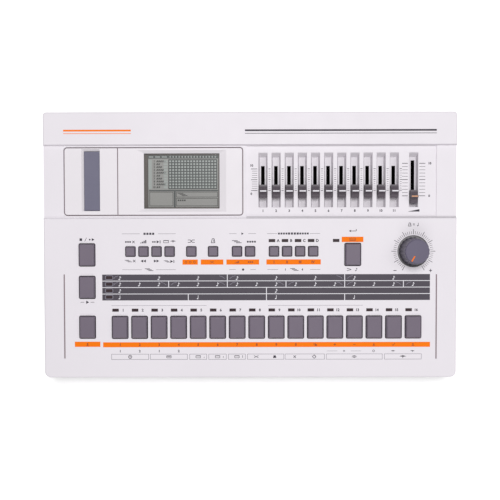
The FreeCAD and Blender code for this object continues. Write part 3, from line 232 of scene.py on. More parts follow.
glass_field = finish("display_field", tone(74, 78, 77), 0.35, 0.6, 0.05, 0.05)
glass_dot = finish("display_dot", tone(166, 172, 169), 0.35, 0.6, 0.05, 0.03)
glass_line = finish("display_line", tone(54, 54, 52), 0.35, 0.6, 0.05, 0.03)
glass_border = finish("display_border", tone(92, 84, 80), 0.4, 0.6, 0.05, 0.04)

# Places that the photograph shows darker than this even light makes them
KEY_HOLES = (-165, 128, 20, 135)
ALL_KEYS = (-200, 200, 0, 200)
FADER_WELLS = (5, 158, 155, 209)
WELL_FLOOR_W = FIELD_W - 5.0
BAND_EDGE = (-3.3, 190, 146.4, 148.7)
KNOB_ROOM = 15.2
KNOB_WELL = (KNOB_U - KNOB_ROOM, KNOB_U + KNOB_ROOM, KNOB_V - KNOB_ROOM, KNOB_V + KNOB_ROOM)

# Painted shade on the case: in the gaps round the keys, on the walls and floors of the fader wells, deep in
# the fader slots, on the step at the band's front edge and in the knob's well
paint_shade(case_plastic, KEY_HOLES, top=-0.1, floor=-0.8, shade=0.45)
paint_shade(case_plastic, FADER_WELLS, top=FIELD_W - 0.1, floor=FIELD_W - 1.6, shade=0.82)
paint_shade(case_plastic, FADER_WELLS, top=WELL_FLOOR_W - 0.05, floor=WELL_FLOOR_W - 0.3, shade=0.15)
paint_shade(case_plastic, BAND_EDGE, top=-0.05, floor=-0.6, shade=0.76)
paint_shade(case_plastic, KNOB_WELL, top=-0.1, floor=-1.2, shade=0.3)
# Painted shade on the keys' sides and skirts below the panel's face, in the gaps between keys and panel
paint_shade(key_plastic, ALL_KEYS, top=0.1, floor=-0.4, shade=0.35)
# Painted shade on the knob's flank, darkest at its foot
paint_shade(knob_plastic, KNOB_WELL, top=KNOB_TOP - 0.3, floor=0.0, shade=0.34)


def paint(name, material):
    """Give every material slot of a CAD node the same finish."""
    node = nodes[name]
    if not node.material_slots:
        node.data.materials.append(material)
    for place in node.material_slots:
        place.material = material


plain = {
    "top_case": case_plastic, "bottom_case": under_plastic, "battery_door": under_plastic,
    "insert_bezel": insert_plastic, "display_window": window_clear, "display_module": display_body,
    "cartridge_shutter": shutter_plastic, "tempo_knob": knob_plastic, "lamps": lamp_lens,
    "circuit_boards": board_green, "control_bodies": control_plastic, "rear_panel": rear_plate,
    "rear_sockets": socket_plastic, "power_button": button_plastic, "fasteners": steel,
    "feet": foot_rubber,
}
for node_name in nodes:
    if node_name in plain:
        paint(node_name, plain[node_name])
    elif node_name.startswith("fader"):
        paint(node_name, fader_plastic)
    else:
        paint(node_name, key_plastic)


# Printing

STROKE = 0.042
CURVE_STEPS = 3
DISC_CORNERS = 20
RING_STEPS = 24


def on_slope(u, v, w):
    """A place on the slope, in the frame's metres."""
    y = FRONT_Y + v * math.cos(SLOPE) - w * math.sin(SLOPE)
    z = FRONT_TOP_Z + v * math.sin(SLOPE) + w * math.cos(SLOPE)
    return (u / 1000, y / 1000, z / 1000)


def on_rear(across, up, out):
    """The rear plate as seen from behind, so across runs toward -X."""
    return (-across / 1000, (REAR_Y + out) / 1000, up / 1000)


glyphs = {}


def glyph(text):
    """Some figures as flat faces, one unit high, centred and made bolder by STROKE."""
    if text not in glyphs:
        curve = bpy.data.curves.new("figures", "FONT")
        curve.body = text
        curve.resolution_u = CURVE_STEPS
        curve.offset = STROKE
        holder = bpy.data.objects.new("figures", curve)
        mesh = bpy.data.meshes.new_from_object(holder)
        points = [(v.co.x, v.co.y) for v in mesh.vertices]
        faces = [tuple(p.vertices) for p in mesh.polygons]
        low_x, high_x = min(p[0] for p in points), max(p[0] for p in points)
        low_y, high_y = min(p[1] for p in points), max(p[1] for p in points)
        size = high_y - low_y
        middle = ((low_x + high_x) / 2, (low_y + high_y) / 2)
        glyphs[text] = ([((x - middle[0]) / size, (y - middle[1]) / size) for x, y in points], faces)
        bpy.data.objects.remove(holder)
        bpy.data.curves.remove(curve)
        bpy.data.meshes.remove(mesh)
    return glyphs[text]


class Print:
    """One layer of printing: flat faces that lie just over a surface, in one ink, on one body."""

    def __init__(self, name, material, slot, w=INK, body="case", place=on_slope):
        self.name, self.material, self.slot = name, material, slot
        self.w, self.body, self.place = w, body, place
        self.points, self.faces = [], []

    def face(self, corners):
        """One flat face, turned so that it looks out of the surface."""
        area = sum(a[0] * b[1] - b[0] * a[1] for a, b in zip(corners, corners[1:] + corners[:1]))
        corners = corners if area > 0 else corners[::-1]
        first = len(self.points)
        self.points += [self.place(u, v, self.w) for u, v in corners]
        self.faces.append(tuple(range(first, first + len(corners))))

    def rect(self, u0, u1, v0, v1):
        self.face([(u0, v0), (u1, v0), (u1, v1), (u0, v1)])

    def line(self, start, end, width):
        du, dv = end[0] - start[0], end[1] - start[1]
        reach = math.hypot(du, dv)
        nu, nv = -dv / reach * width / 2, du / reach * width / 2
        self.face([(start[0] + nu, start[1] + nv), (start[0] - nu, start[1] - nv),
                   (end[0] - nu, end[1] - nv), (end[0] + nu, end[1] + nv)])

    def path(self, points, width):
        for start, end in zip(points, points[1:]):
            self.line(start, end, width)

    def frame(self, u0, u1, v0, v1, width):
        self.rect(u0, u1, v0, v0 + width)
        self.rect(u0, u1, v1 - width, v1)
        self.rect(u0, u0 + width, v0 + width, v1 - width)
        self.rect(u1 - width, u1, v0 + width, v1 - width)

    def disc(self, u, v, radius, squeeze=1.0):
        turn = [math.tau * i / DISC_CORNERS for i in range(DISC_CORNERS)]
        self.face([(u + radius * math.cos(a), v + radius * squeeze * math.sin(a)) for a in turn])

    def ring(self, u, v, radius, width, start=0.0, end=360.0):
        inner, outer = radius - width / 2, radius + width / 2
        angles = [math.radians(start + (end - start) * i / RING_STEPS) for i in range(RING_STEPS + 1)]
        for a, b in zip(angles, angles[1:]):
            self.face([(u + inner * math.cos(a), v + inner * math.sin(a)),
                       (u + outer * math.cos(a), v + outer * math.sin(a)),
                       (u + outer * math.cos(b), v + outer * math.sin(b)),
                       (u + inner * math.cos(b), v + inner * math.sin(b))])

    def rounded(self, u0, u1, v0, v1, width, radius):
        """A rounded outline."""
        self.rect(u0 + radius, u1 - radius, v0, v0 + width)
        self.rect(u0 + radius, u1 - radius, v1 - width, v1)
        self.rect(u0, u0 + width, v0 + radius, v1 - radius)
        self.rect(u1 - width, u1, v0 + radius, v1 - radius)
        middle = radius - width / 2
        for u, v, start in ((u1 - radius, v1 - radius, 0), (u0 + radius, v1 - radius, 90),
                            (u0 + radius, v0 + radius, 180), (u1 - radius, v0 + radius, 270)):
            self.ring(u, v, middle, width, start, start + 90)

    def figures(self, text, u, v, height):
        """Figures centred on (u, v)."""
        points, faces = glyph(text)
        first = len(self.points)
        self.points += [self.place(u + x * height, v + y * height, self.w) for x, y in points]
        for face in faces:
            self.faces.append(tuple(first + i for i in face))

    def done(self):
        """Turn the faces into a piece that rides its body."""
        mesh = bpy.data.meshes.new(self.name)
        mesh.from_pydata(self.points, [], self.faces)
        mesh.materials.append(self.material)
        mesh.update()
        made = bpy.data.objects.new(self.name, mesh)
        bpy.context.scene.collection.objects.link(made)
        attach(made, self.body)
        return made


# Plain signs, drawn s millimetres high around (u, v)

def play(ink, u, v, s):
    ink.face([(u - s * 0.4, v - s / 2), (u + s * 0.5, v), (u - s * 0.4, v + s / 2)])


def back(ink, u, v, s):
    ink.face([(u + s * 0.4, v - s / 2), (u - s * 0.5, v), (u + s * 0.4, v + s / 2)])


def square(ink, u, v, s):
    ink.rect(u - s * 0.42, u + s * 0.42, v - s * 0.42, v + s * 0.42)


def record_dot(ink, u, v, s):
    ink.disc(u, v, s * 0.45)


def forward(ink, u, v, s):
    play(ink, u - s * 0.45, v, s)
    play(ink, u + s * 0.45, v, s)


def rewind(ink, u, v, s):
    back(ink, u - s * 0.45, v, s)
    back(ink, u + s * 0.45, v, s)


def to_end(ink, u, v, s):
    play(ink, u - s * 0.3, v, s)
    ink.rect(u + s * 0.35, u + s * 0.6, v - s / 2, v + s / 2)


def cross(ink, u, v, s):
    half = s * 0.42
    ink.line((u - half, v - half), (u + half, v + half), s * 0.2)
    ink.line((u - half, v + half), (u + half, v - half), s * 0.2)


def plus(ink, u, v, s):
    ink.rect(u - s / 2, u + s / 2, v - s * 0.11, v + s * 0.11)
    ink.rect(u - s * 0.11, u + s * 0.11, v - s / 2, v + s / 2)


def minus(ink, u, v, s):
    ink.rect(u - s / 2, u + s / 2, v - s * 0.11, v + s * 0.11)


def open_ring(ink, u, v, s):
    ink.ring(u, v, s * 0.42, s * 0.18)


def cells(ink, u, v, s, count=4):
    """A row of small squares, as for a pattern."""
    for i in range(count):
        square(ink, u + (i - (count - 1) / 2) * s * 1.15, v, s)


def bars(ink, u, v, s):
    """Three staggered bars, as for a track."""
    for i, (start, end) in enumerate(((-1.6, 0.4), (-0.9, 1.1), (-0.2, 1.8))):
        low = v + s * (0.28 - i * 0.38)
        ink.rect(u + start * s, u + end * s, low, low + s * 0.22)


def stairs(ink, u, v, s):
    for i in range(4):
        ink.rect(u + (i - 2) * s * 0.5, u + (i - 1.3) * s * 0.5, v - s / 2, v - s / 2 + s * 0.25 * (i + 1))


def drum(ink, u, v, s):
    ink.path([(u - s * 0.8, v + s * 0.25), (u - s * 0.8, v - s * 0.4), (u + s * 0.8, v - s * 0.4),
              (u + s * 0.8, v + s * 0.25)], s * 0.16)
    ink.rect(u - s * 0.88, u + s * 0.88, v + s * 0.2, v + s * 0.45)


def big_drum(ink, u, v, s):
    ink.ring(u, v, s * 0.46, s * 0.17)
    ink.disc(u, v, s * 0.16)


def snare(ink, u, v, s):
    drum(ink, u, v, s)
    ink.line((u - s * 0.6, v), (u + s * 0.6, v), s * 0.14)


def cymbal(ink, u, v, s):
    ink.face([(u - s * 1.1, v), (u, v - s * 0.16), (u + s * 1.1, v), (u, v + s * 0.3)])
    ink.rect(u - s * 0.08, u + s * 0.08, v - s * 0.55, v)


def hat(ink, u, v, s):
    ink.face([(u - s * 0.9, v + s * 0.08), (u + s * 0.9, v + s * 0.08), (u, v + s * 0.38)])
    ink.face([(u - s * 0.9, v - s * 0.08), (u, v - s * 0.38), (u + s * 0.9, v - s * 0.08)])


def bell(ink, u, v, s):
    ink.face([(u - s * 0.35, v + s * 0.45), (u - s * 0.6, v - s * 0.45), (u + s * 0.6, v - s * 0.45),
              (u + s * 0.35, v + s * 0.45)])


def sticks(ink, u, v, s):
    ink.line((u - s * 0.8, v - s * 0.4), (u + s * 0.8, v + s * 0.4), s * 0.16)
    ink.line((u - s * 0.8, v + s * 0.4), (u + s * 0.8, v - s * 0.4), s * 0.16)


def jingles(ink, u, v, s):
    ink.ring(u, v, s * 0.45, s * 0.14)
    for angle in (0, 90, 180, 270):
        a = math.radians(angle)
        ink.disc(u + s * 0.45 * math.cos(a), v + s * 0.45 * math.sin(a), s * 0.16)


def swap(ink, u, v, s):
    ink.path([(u - s, v - s * 0.35), (u - s * 0.3, v - s * 0.35), (u + s * 0.3, v + s * 0.35),
              (u + s, v + s * 0.35)], s * 0.17)
    ink.path([(u - s, v + s * 0.35), (u - s * 0.3, v + s * 0.35), (u + s * 0.3, v - s * 0.35),
              (u + s, v - s * 0.35)], s * 0.17)


def metronome(ink, u, v, s):
    ink.path([(u - s * 0.45, v - s * 0.5), (u - s * 0.18, v + s * 0.5), (u + s * 0.18, v + s * 0.5),
              (u + s * 0.45, v - s * 0.5), (u - s * 0.45, v - s * 0.5)], s * 0.15)
    ink.line((u, v - s * 0.3), (u + s * 0.35, v + s * 0.45), s * 0.13)


def enter(ink, u, v, s):
    ink.path([(u + s * 1.3, v + s * 0.5), (u + s * 1.3, v - s * 0.15), (u - s * 0.6, v - s * 0.15)], s * 0.2)
    back(ink, u - s * 0.9, v - s * 0.15, s * 0.8)


def accent(ink, u, v, s):
    ink.path([(u - s * 0.8, v + s * 0.45), (u + s * 0.8, v), (u - s * 0.8, v - s * 0.45)], s * 0.17)


def copies(ink, u, v, s):
    ink.frame(u - s * 0.7, u + s * 0.2, v - s * 0.2, v + s * 0.5, s * 0.14)
    ink.rect(u - s * 0.2, u + s * 0.7, v - s * 0.5, v + s * 0.05)


def arrow(ink, u, v, s, up):
    way = 1 if up else -1
    ink.face([(u - s * 0.4, v), (u + s * 0.4, v), (u, v + way * s * 0.5)])
    ink.rect(u - s * 0.12, u + s * 0.12, *sorted((v, v - way * s * 0.5)))
    ink.rect(u - s * 0.6, u + s * 0.6, v - s * 0.62, v - s * 0.48)


def tick_sign(ink, u, v, s):
    ink.path([(u - s * 0.6, v), (u - s * 0.15, v - s * 0.4), (u + s * 0.6, v + s * 0.45)], s * 0.2)


def card(ink, u, v, s):
    ink.frame(u - s * 1.1, u + s * 1.1, v - s * 0.5, v + s * 0.5, s * 0.15)
    for i in range(5):
        middle = u + (i - 2) * s * 0.36
        ink.rect(middle - s * 0.08, middle + s * 0.08, v - s * 0.35, v + s * 0.05)


def wedge(ink, u, v, s):
    ink.face([(u - s * 2.2, v - s * 0.4), (u + s * 2.2, v - s * 0.4), (u + s * 2.2, v + s * 0.5)])


def note(ink, u, v, s, flag=True):
    """A small note: its head, stem and flag."""
    ink.disc(u - s * 0.16, v - s * 0.36, s * 0.19, 0.75)
    ink.rect(u - s * 0.03, u + s * 0.09, v - s * 0.36, v + s * 0.5)
    if flag:
        ink.face([(u + s * 0.09, v + s * 0.5), (u + s * 0.09, v + s * 0.25), (u + s * 0.36, v + s * 0.02),
                  (u + s * 0.3, v + s * 0.26)])


# The lower panel: strips, boxes and figures around the keys

HAIR = 0.12
HEADING_SIZE = 2.3
HEADING_HIGH_V, HEADING_LOW_V = 132.65, 99.6
OVER_BUTTONS_V, UNDER_BUTTONS_V = 125.2, 107.6

SHIFT_STRIP = (-161.9, -138.3, 28.4, 33.2)
STEP_STRIP = (-135.8, 165.7, 28.0, 32.6)
ENTER_STRIP = (84.2, 104.1, 124.8, 129.6)
BUTTON_STRIPS = ((-62.2, -48.1), (-45.35, -24.6), (-21.8, 8.3), (15.0, 65.0))
BUTTON_STRIP_V = (104.2, 108.9)
STEP_STRIP_SIGN_V = 30.3
BUTTON_STRIP_SIGN_V = 106.5

BEAT_LEFT, BEAT_RIGHT = -136.2, 165.4
BEAT_ROWS = ((89.2, 95.2), (83.5, 88.9), (77.55, 82.9), (71.3, 76.95))
BEAT_LINES = (89.2, 83.2, 77.25)
BEAT_HALF = 0.3
DIVIDER_HALF = 0.35
DIVIDERS = ((6, 12), (3, 6, 9, 12, 15), (8,), (4, 8, 12))
NOTE_SIZE = 3.5
ARC_WIDTH = 0.3

BOX_V = (16.5, 21.7)
BOX_WIDTH = 0.32
BOX_SIGN_V = 19.1
OVER_BOX_V = 24.3
STEP_FIGURE_V = 62.3
GROUP_LINE_V = 66.5


def heading(ink, sign, v, left, right, inner_left, inner_right):
    """A line with a gap in its middle for a sign."""
    ink.rect(left, inner_left, v - HAIR, v + HAIR)
    ink.rect(inner_right, right, v - HAIR, v + HAIR)
    sign(ink, (inner_left + inner_right) / 2, v, HEADING_SIZE)


def after_step(count):
    """The middle of the gap that follows a number of steps."""
    return STEP_U[0] + STEP_PITCH * (count - 0.5)


orange = Print("orange_strips", orange_ink, "case_plastic")
orange.rect(*SHIFT_STRIP)
orange.rect(*STEP_STRIP)
for left, right in BUTTON_STRIPS:
    orange.rect(left, right, *BUTTON_STRIP_V)
orange.rect(*ENTER_STRIP)
orange.done()

strip = Print("beat_strip", strip_ink, "case_plastic")
strip.rect(BEAT_LEFT, BEAT_RIGHT, BEAT_ROWS[-1][0], BEAT_ROWS[0][1])
strip.done()

on_orange = Print("strip_signs", rust_ink, "case_plastic", OVER)
arrow(on_orange, -150.1, 30.8, 2.6, True)
for i in range(10):
    on_orange.figures(str((i + 1) % 10), STEP_U[i], STEP_STRIP_SIGN_V, 2.5)
for i, sign in ((10, copies), (11, plus), (12, minus), (14, tick_sign)):
    sign(on_orange, STEP_U[i], STEP_STRIP_SIGN_V, 2.3)
arrow(on_orange, STEP_U[13], STEP_STRIP_SIGN_V + 0.1, 2.3, False)
arrow(on_orange, STEP_U[15], STEP_STRIP_SIGN_V + 0.1, 2.3, True)
for u, numeral in zip(GROUP_U, ("I", "II", "III", "IV")):
    on_orange.figures(numeral, u, BUTTON_STRIP_SIGN_V, 2.6)
for i in range(3):
    on_orange.ring(-59.0 + 3.9 * i, BUTTON_STRIP_SIGN_V, 0.95, 0.4)
swap(on_orange, -35.0, BUTTON_STRIP_SIGN_V, 2.0)
stairs(on_orange, -12.0, BUTTON_STRIP_SIGN_V, 2.2)
cells(on_orange, 0.4, BUTTON_STRIP_SIGN_V, 1.5, 3)
card(on_orange, 94.2, 127.2, 2.6)
on_orange.done()

beats = Print("beat_lines", pale_ink, "case_plastic", OVER)
for v in BEAT_LINES:
    beats.rect(BEAT_LEFT, BEAT_RIGHT, v - BEAT_HALF, v + BEAT_HALF)
for (low, high), counts in zip(BEAT_ROWS, DIVIDERS):
    for count in counts:
        u = after_step(count)
        beats.rect(u - DIVIDER_HALF, u + DIVIDER_HALF, low, high)
beats.done()

notes = Print("beat_notes", pale_ink, "case_plastic", OVER)
for i in range(0, 16, 2):
    note(notes, STEP_U[i], 91.8, NOTE_SIZE)
for u in STEP_U:
    note(notes, u, 86.0, NOTE_SIZE)
for i in (0, 8):
    note(notes, STEP_U[i], 80.0, NOTE_SIZE)
for i in (0, 4, 8, 12):
    note(notes, STEP_U[i], 74.1, NOTE_SIZE, False)
notes.done()


def half_arc(ink, u, v, side):
    """One half of the bow over a divider, to its left (side -1) or right (side 1)."""
    ink.path([(u + side * 7.4, v + 1.7), (u + side * 4.6, v + 0.9), (u + side * 2.2, v - 0.9)], ARC_WIDTH)


arcs = Print("beat_arcs", soft_ink, "case_plastic", OVER)
for row_v, counts in zip((92.2, 86.4), DIVIDERS):
    for edge in [after_step(count) for count in counts]:
        half_arc(arcs, edge, row_v, -1)
        half_arc(arcs, edge, row_v, 1)
for row_v in (92.2, 86.4):
    arcs.path([(-121.5, row_v + 1.7), (-124.2, row_v + 0.9), (-125.6, row_v - 0.9)], ARC_WIDTH)
for v in (92.4, 86.3, 80.3, 74.4):
    arcs.rounded(-133.4, -126.2, v - 2.0, v + 2.0, 0.35, 1.2)
arcs.done()

lines = Print("fine_lines", grey_ink, "case_plastic")
for left, right in ((-127.9, -40.2), (16.3, 103.8)):
    lines.rect(left, right, GROUP_LINE_V - HAIR, GROUP_LINE_V + HAIR)
for left, right in ((-128.2, -93.7), (-92.4, -57.9), (-56.1, -40.1), (-38.5, -22.0), (-20.3, -4.4),
                    (-2.8, 31.1), (32.0, 68.6), (70.0, 121.9), (123.6, 157.9)):
    lines.frame(left, right, *BOX_V, BOX_WIDTH)
lines.done()

signs = Print("panel_signs", dark_ink, "case_plastic")

# Figures over the steps, and what stands between the orange strip and the boxes
for i, u in enumerate(STEP_U):
    signs.figures(str(i + 1), u + 2.9, STEP_FIGURE_V, 2.6)
for i, text in enumerate("1212"):
    signs.figures(text, STEP_U[i], OVER_BOX_V + 0.1, 2.3)
for left, right in ((70.6, 80.3), (92.8, 102.3)):
    signs.rect(left, right, OVER_BOX_V - 0.1, OVER_BOX_V + 0.1)
plus(signs, 86.5, OVER_BOX_V, 2.0)
open_ring(signs, STEP_U[13] - 0.3, OVER_BOX_V, 2.1)
cymbal(signs, STEP_U[14] - 0.4, OVER_BOX_V, 2.0)
cymbal(signs, STEP_U[15] - 0.5, OVER_BOX_V, 2.0)

# An instrument in each box
big_drum(signs, -110.9, BOX_SIGN_V, 3.2)
snare(signs, -75.1, BOX_SIGN_V, 2.6)
for u in (-48.1, -30.2, -12.3):
    drum(signs, u, BOX_SIGN_V, 2.6)
for u, height in ((-41.9, 1.0), (-24.2, 1.6), (-6.4, 2.3)):
    signs.rect(u - 0.9, u - 0.5, 18.1, 18.1 + height)
sticks(signs, 5.5, BOX_SIGN_V, 2.6)
bell(signs, 22.5, BOX_SIGN_V, 2.6)
cross(signs, 41.0, BOX_SIGN_V, 2.6)
jingles(signs, 59.0, BOX_SIGN_V, 3.0)
hat(signs, 95.9, BOX_SIGN_V, 3.0)
cymbal(signs, 140.7, BOX_SIGN_V + 0.2, 3.0)

# Headings over and under the small buttons
heading(signs, cells, HEADING_HIGH_V, -117.9, -68.4, -101.4, -84.6)
heading(signs, bars, HEADING_LOW_V, -117.5, -68.4, -99.8, -86.5)
heading(signs, play, HEADING_HIGH_V, -19.2, 5.3, -12.4, -1.6)
heading(signs, record_dot, HEADING_LOW_V, -19.2, 5.3, -13.2, 0.3)
heading(signs, cells, HEADING_HIGH_V, 15.6, 64.3, 24.7, 54.9)
heading(signs, bars, HEADING_LOW_V, 15.9, 64.6, 25.7, 55.2)
cells(signs, 30.0, HEADING_HIGH_V, 2.0)
cells(signs, 49.6, HEADING_HIGH_V, 2.0)
signs.figures("1", 32.5, HEADING_LOW_V, 2.0)
signs.figures("4", 48.0, HEADING_LOW_V, 2.0)

# Signs over the small buttons
cells(signs, -112.2, OVER_BUTTONS_V, 1.7, 3)
cross(signs, -107.2, OVER_BUTTONS_V, 2.6)
stairs(signs, -97.9, OVER_BUTTONS_V + 0.2, 3.0)
cells(signs, -88.4, OVER_BUTTONS_V, 1.6, 2)
to_end(signs, -84.0, OVER_BUTTONS_V, 2.7)
drum(signs, -77.2, OVER_BUTTONS_V + 0.3, 2.8)
cymbal(signs, -70.8, OVER_BUTTONS_V + 0.6, 2.6)
swap(signs, BUTTON_U[4], OVER_BUTTONS_V + 0.6, 3.2)
metronome(signs, BUTTON_U[5], OVER_BUTTONS_V + 1.0, 3.8)
bars(signs, -12.4, OVER_BUTTONS_V, 2.6)
cells(signs, 1.2, OVER_BUTTONS_V, 1.9, 4)

# Signs under the small buttons
bars(signs, -112.2, UNDER_BUTTONS_V, 2.0)
cross(signs, -106.6, UNDER_BUTTONS_V, 2.6)
rewind(signs, -98.2, UNDER_BUTTONS_V, 2.7)
forward(signs, -86.2, UNDER_BUTTONS_V, 2.7)
bars(signs, -76.4, UNDER_BUTTONS_V - 0.4, 1.8)
to_end(signs, -71.4, UNDER_BUTTONS_V - 0.4, 2.7)
for u, text in zip(GROUP_U, "ABCD"):
    signs.figures(text, u + 3.8, OVER_BUTTONS_V + 1.0, 2.7)

# Stop, start, enter and the tempo knob
square(signs, -155.6, 127.4, 2.8)
signs.line((-152.0, 125.8), (-150.4, 129.0), 0.45)
square(signs, -147.4, 127.4, 1.6)
play(signs, -144.4, 127.4, 2.8)
play(signs, -149.9, 69.7, 3.0)
signs.rect(-156.4, -153.0, 69.5, 69.9)
signs.rect(-147.0, -143.6, 69.5, 69.9)
enter(signs, 94.2, 135.3, 2.6)
accent(signs, 91.0, 99.5, 2.6)
note(signs, 97.6, 99.5, 3.0)
metronome(signs, 146.6, 140.8, 3.0)
signs.rect(149.4, 151.4, 141.1, 141.5)
signs.rect(149.4, 151.4, 140.1, 140.5)
note(signs, 154.4, 140.8, 3.2, False)
minus(signs, 133.2, 98.5, 2.8)
plus(signs, 165.9, 98.5, 2.8)
signs.done()

# Fine grooves, with shade painted at their floor
SIDE_GROOVE_DEPTH = 0.5
INSERT_GROOVE_DEPTH = 2.0
DIVIDER_GROOVE_DEPTH = 1.3
grooves = Print("side_grooves", painted_groove_shade, "case_plastic", INK - SIDE_GROOVE_DEPTH)
grooves.rect(-171.8, -170.6, 17.6, 95.4)
grooves.rect(170.7, 171.9, 17.0, 95.0)
grooves.done()
grooves = Print("insert_groove", painted_groove_shade, "case_plastic", BAND_W - INSERT_GROOVE_DEPTH + INK)
grooves.rounded(-171.65, -6.15, 149.25, 212.35, 0.9, 3.25)
grooves.done()
grooves = Print("divider_groove", painted_groove_shade, "insert_plastic", BAND_W - DIVIDER_GROOVE_DEPTH + INK)
grooves.rect(-122.25, -121.35, 150.2, 211.4)
grooves.done()

# Plain rules where the front panel had its titles
THICK_RULE_V = (226.4, 228.0)
THIN_RULE_V = (224.2, 224.7)
for name, ink, left, right in (("title_rules", dark_ink, -4.5, 171.0),
                               ("corner_rules", orange_ink, -171.0, -109.0)):
    title = Print(name, ink, "case_plastic")
    title.rect(left, right, *THICK_RULE_V)
    title.rect(left, right, *THIN_RULE_V)
    title.done()

# Ticks around the knob, every fifth one longer, and the knob's pointer
TICK_COUNT = 51
TICK_TURN = 6
TICK_START, TICK_END, LONG_TICK_END = 15.6, 18.4, 20.2
POINTER_START, POINTER_END, POINTER_WIDTH = 4.6, 10.1, 1.1


def around_knob(degrees, radius):
    """A place on the panel, turned to the right from straight up the slope."""
    angle = math.radians(degrees)
    return (KNOB_U + radius * math.sin(angle), KNOB_V + radius * math.cos(angle))


ticks = Print("knob_ticks", dark_ink, "case_plastic")
for i in range(TICK_COUNT):
    major = i % 5 == 0
    degrees = KNOB_LOWEST + TICK_TURN * i
    end = LONG_TICK_END if major else TICK_END
    ticks.line(around_knob(degrees, TICK_START), around_knob(degrees, end), 0.45 if major else 0.3)
ticks.done()

pointer = Print("knob_pointer", orange_ink, "knob_plastic", KNOB_TOP + INK, "tempo_knob")
pointer.line(around_knob(KNOB_LOWEST, POINTER_START), around_knob(KNOB_LOWEST, POINTER_END), POINTER_WIDTH)
pointer.done()

# The fader field: each scale has its lowest and highest tick and ten steps between them
FADER_SCALE_V = (172.4, 192.2)
VOLUME_SCALE_V = (167.2, 197.1)
SCALE_STEPS = 10
FADER_SIGN_V = 153.7
FADER_GAP_U = [18.0 + FADER_PITCH * i for i in range(11)]

scales = Print("fader_scales", dark_ink, "case_plastic", FIELD_W + INK)
for i in range(SCALE_STEPS + 1):
    v = FADER_SCALE_V[0] + (FADER_SCALE_V[1] - FADER_SCALE_V[0]) * i / SCALE_STEPS
    major = i % 5 == 0
    half = 0.26 if major else 0.16
    scales.rect(1.0 if major else 1.8, 6.8, v - half, v + half)
    reach = 1.0 if major else 0.8
    for middle in FADER_GAP_U:
        scales.rect(middle - reach, middle + reach, v - half, v + half)
for i in range(SCALE_STEPS + 1):
    v = VOLUME_SCALE_V[0] + (VOLUME_SCALE_V[1] - VOLUME_SCALE_V[0]) * i / SCALE_STEPS
    half = 0.28 if i % 5 == 0 else 0.17
    scales.rect(140.15, 145.4, v - half, v + half)
    scales.rect(156.0, 161.5, v - half, v + half)
for text, u, v in (("10", 1.7, 195.4), ("0", 1.2, 169.4), ("10", 165.8, 197.1), ("0", 165.2, 167.2)):
    scales.figures(text, u, v, 2.3)
for i, u in enumerate(FADER_U):
    scales.figures(str(i + 1), u, FADER_SIGN_V, 2.4)
wedge(scales, VOLUME_U, FADER_SIGN_V, 2.5)
scales.done()

# The line across each fader's cap
CAP_TOP = FIELD_W + 6.0
CAP_LINE_HALF = (2.9, 0.55)


def cap_line(body, ink, u, v):
    """The line on top of one fader's cap, which rides with the fader."""
    made = Print(body.replace("fader_", "fader_line_"), ink, "fader_plastic", CAP_TOP + INK, body)
    made.rect(u - CAP_LINE_HALF[0], u + CAP_LINE_HALF[0], v - CAP_LINE_HALF[1], v + CAP_LINE_HALF[1])
    made.done()


for i, u in enumerate(FADER_U):
    cap_line("fader_%02d" % (i + 1), pale_ink, u, FADER_V)
cap_line("fader_volume", tan_ink, VOLUME_U, VOLUME_V)

# The display's face, under its window, in three layers
GROUND_W, FIELD_LAYER_W, SIGN_LAYER_W = -6.56, -6.54, -6.52
DOT_COLUMNS, DOT_ROWS = 16, 10
PITCH_U = 44.5 / DOT_COLUMNS
PITCH_V = 26.6 / DOT_ROWS
DOT_U = [-75.2 + (column + 0.5) * PITCH_U for column in range(DOT_COLUMNS)]
DOT_V = [174.4 + (row + 0.5) * PITCH_V for row in range(DOT_ROWS)]
DASH_PITCH = 1.75
FRAME_WIDTH = 0.45

ground = Print("display_ground", glass_ground, "display", GROUND_W)
ground.rect(-94.2, -28.9, 157.0, 206.4)
ground.done()

border = Print("display_border", glass_border, "display", FIELD_LAYER_W)
border.rect(-98.6, -94.6, 155.2, 207.4)
border.rect(-29.3, -27.4, 155.2, 207.4)
border.rect(-94.6, -29.3, 155.2, 157.2)
border.rect(-94.6, -29.3, 205.2, 207.4)
border.done()

field = Print("display_field", glass_field, "display", FIELD_LAYER_W)
field.rect(-75.6, -30.3, 173.9, 201.6)
field.rect(-94.6, -29.3, 202.2, 205.2)
field.rect(-93.6, -29.6, 171.9, 173.2)
field.rect(-70.6, -68.9, 157.2, 171.9)
field.done()

dots = Print("display_dots", glass_dot, "display", SIGN_LAYER_W)
for u in DOT_U:
    for v in DOT_V:
        dots.rect(u - 0.86, u + 0.86, v - 0.8, v + 0.8)
for v in DOT_V:
    dots.rect(-79.9, -76.2, v - 0.95, v + 0.95)
dots.rect(-94.0, -90.9, 174.2, 201.2)
for u in DOT_U:
    dots.rect(u - 0.5, u + 0.5, 203.0, 204.5)
for left, right in ((-93.6, -89.4), (-87.8, -83.2), (-81.6, -76.8)):
    dots.rect(left, right, 203.2, 204.2)
dots.done()

# A figure and two to five slanted dashes stand for the name of each row
dark = Print("display_lines", glass_line, "display", SIGN_LAYER_W)
for row, v in enumerate(DOT_V):
    dark.figures(str(DOT_ROWS - row), -88.6, v, 1.9)
    for part in range(2 + (3 * row) % 4):
        middle = -85.8 + DASH_PITCH * part
        dark.face([(middle - 0.95, v - 0.8), (middle + 0.3, v - 0.8), (middle + 0.95, v + 0.8),
                   (middle - 0.3, v + 0.8)])
dark.frame(-93.2, -71.2, 158.2, 171.4, FRAME_WIDTH)
dark.frame(-68.4, -29.9, 166.4, 171.4, FRAME_WIDTH)
dark.frame(-68.4, -29.9, 158.2, 165.6, FRAME_WIDTH)
bars(dark, -62.8, 169.0, 2.7)
cells(dark, -63.4, 163.6, 1.7, 4)
dark.done()

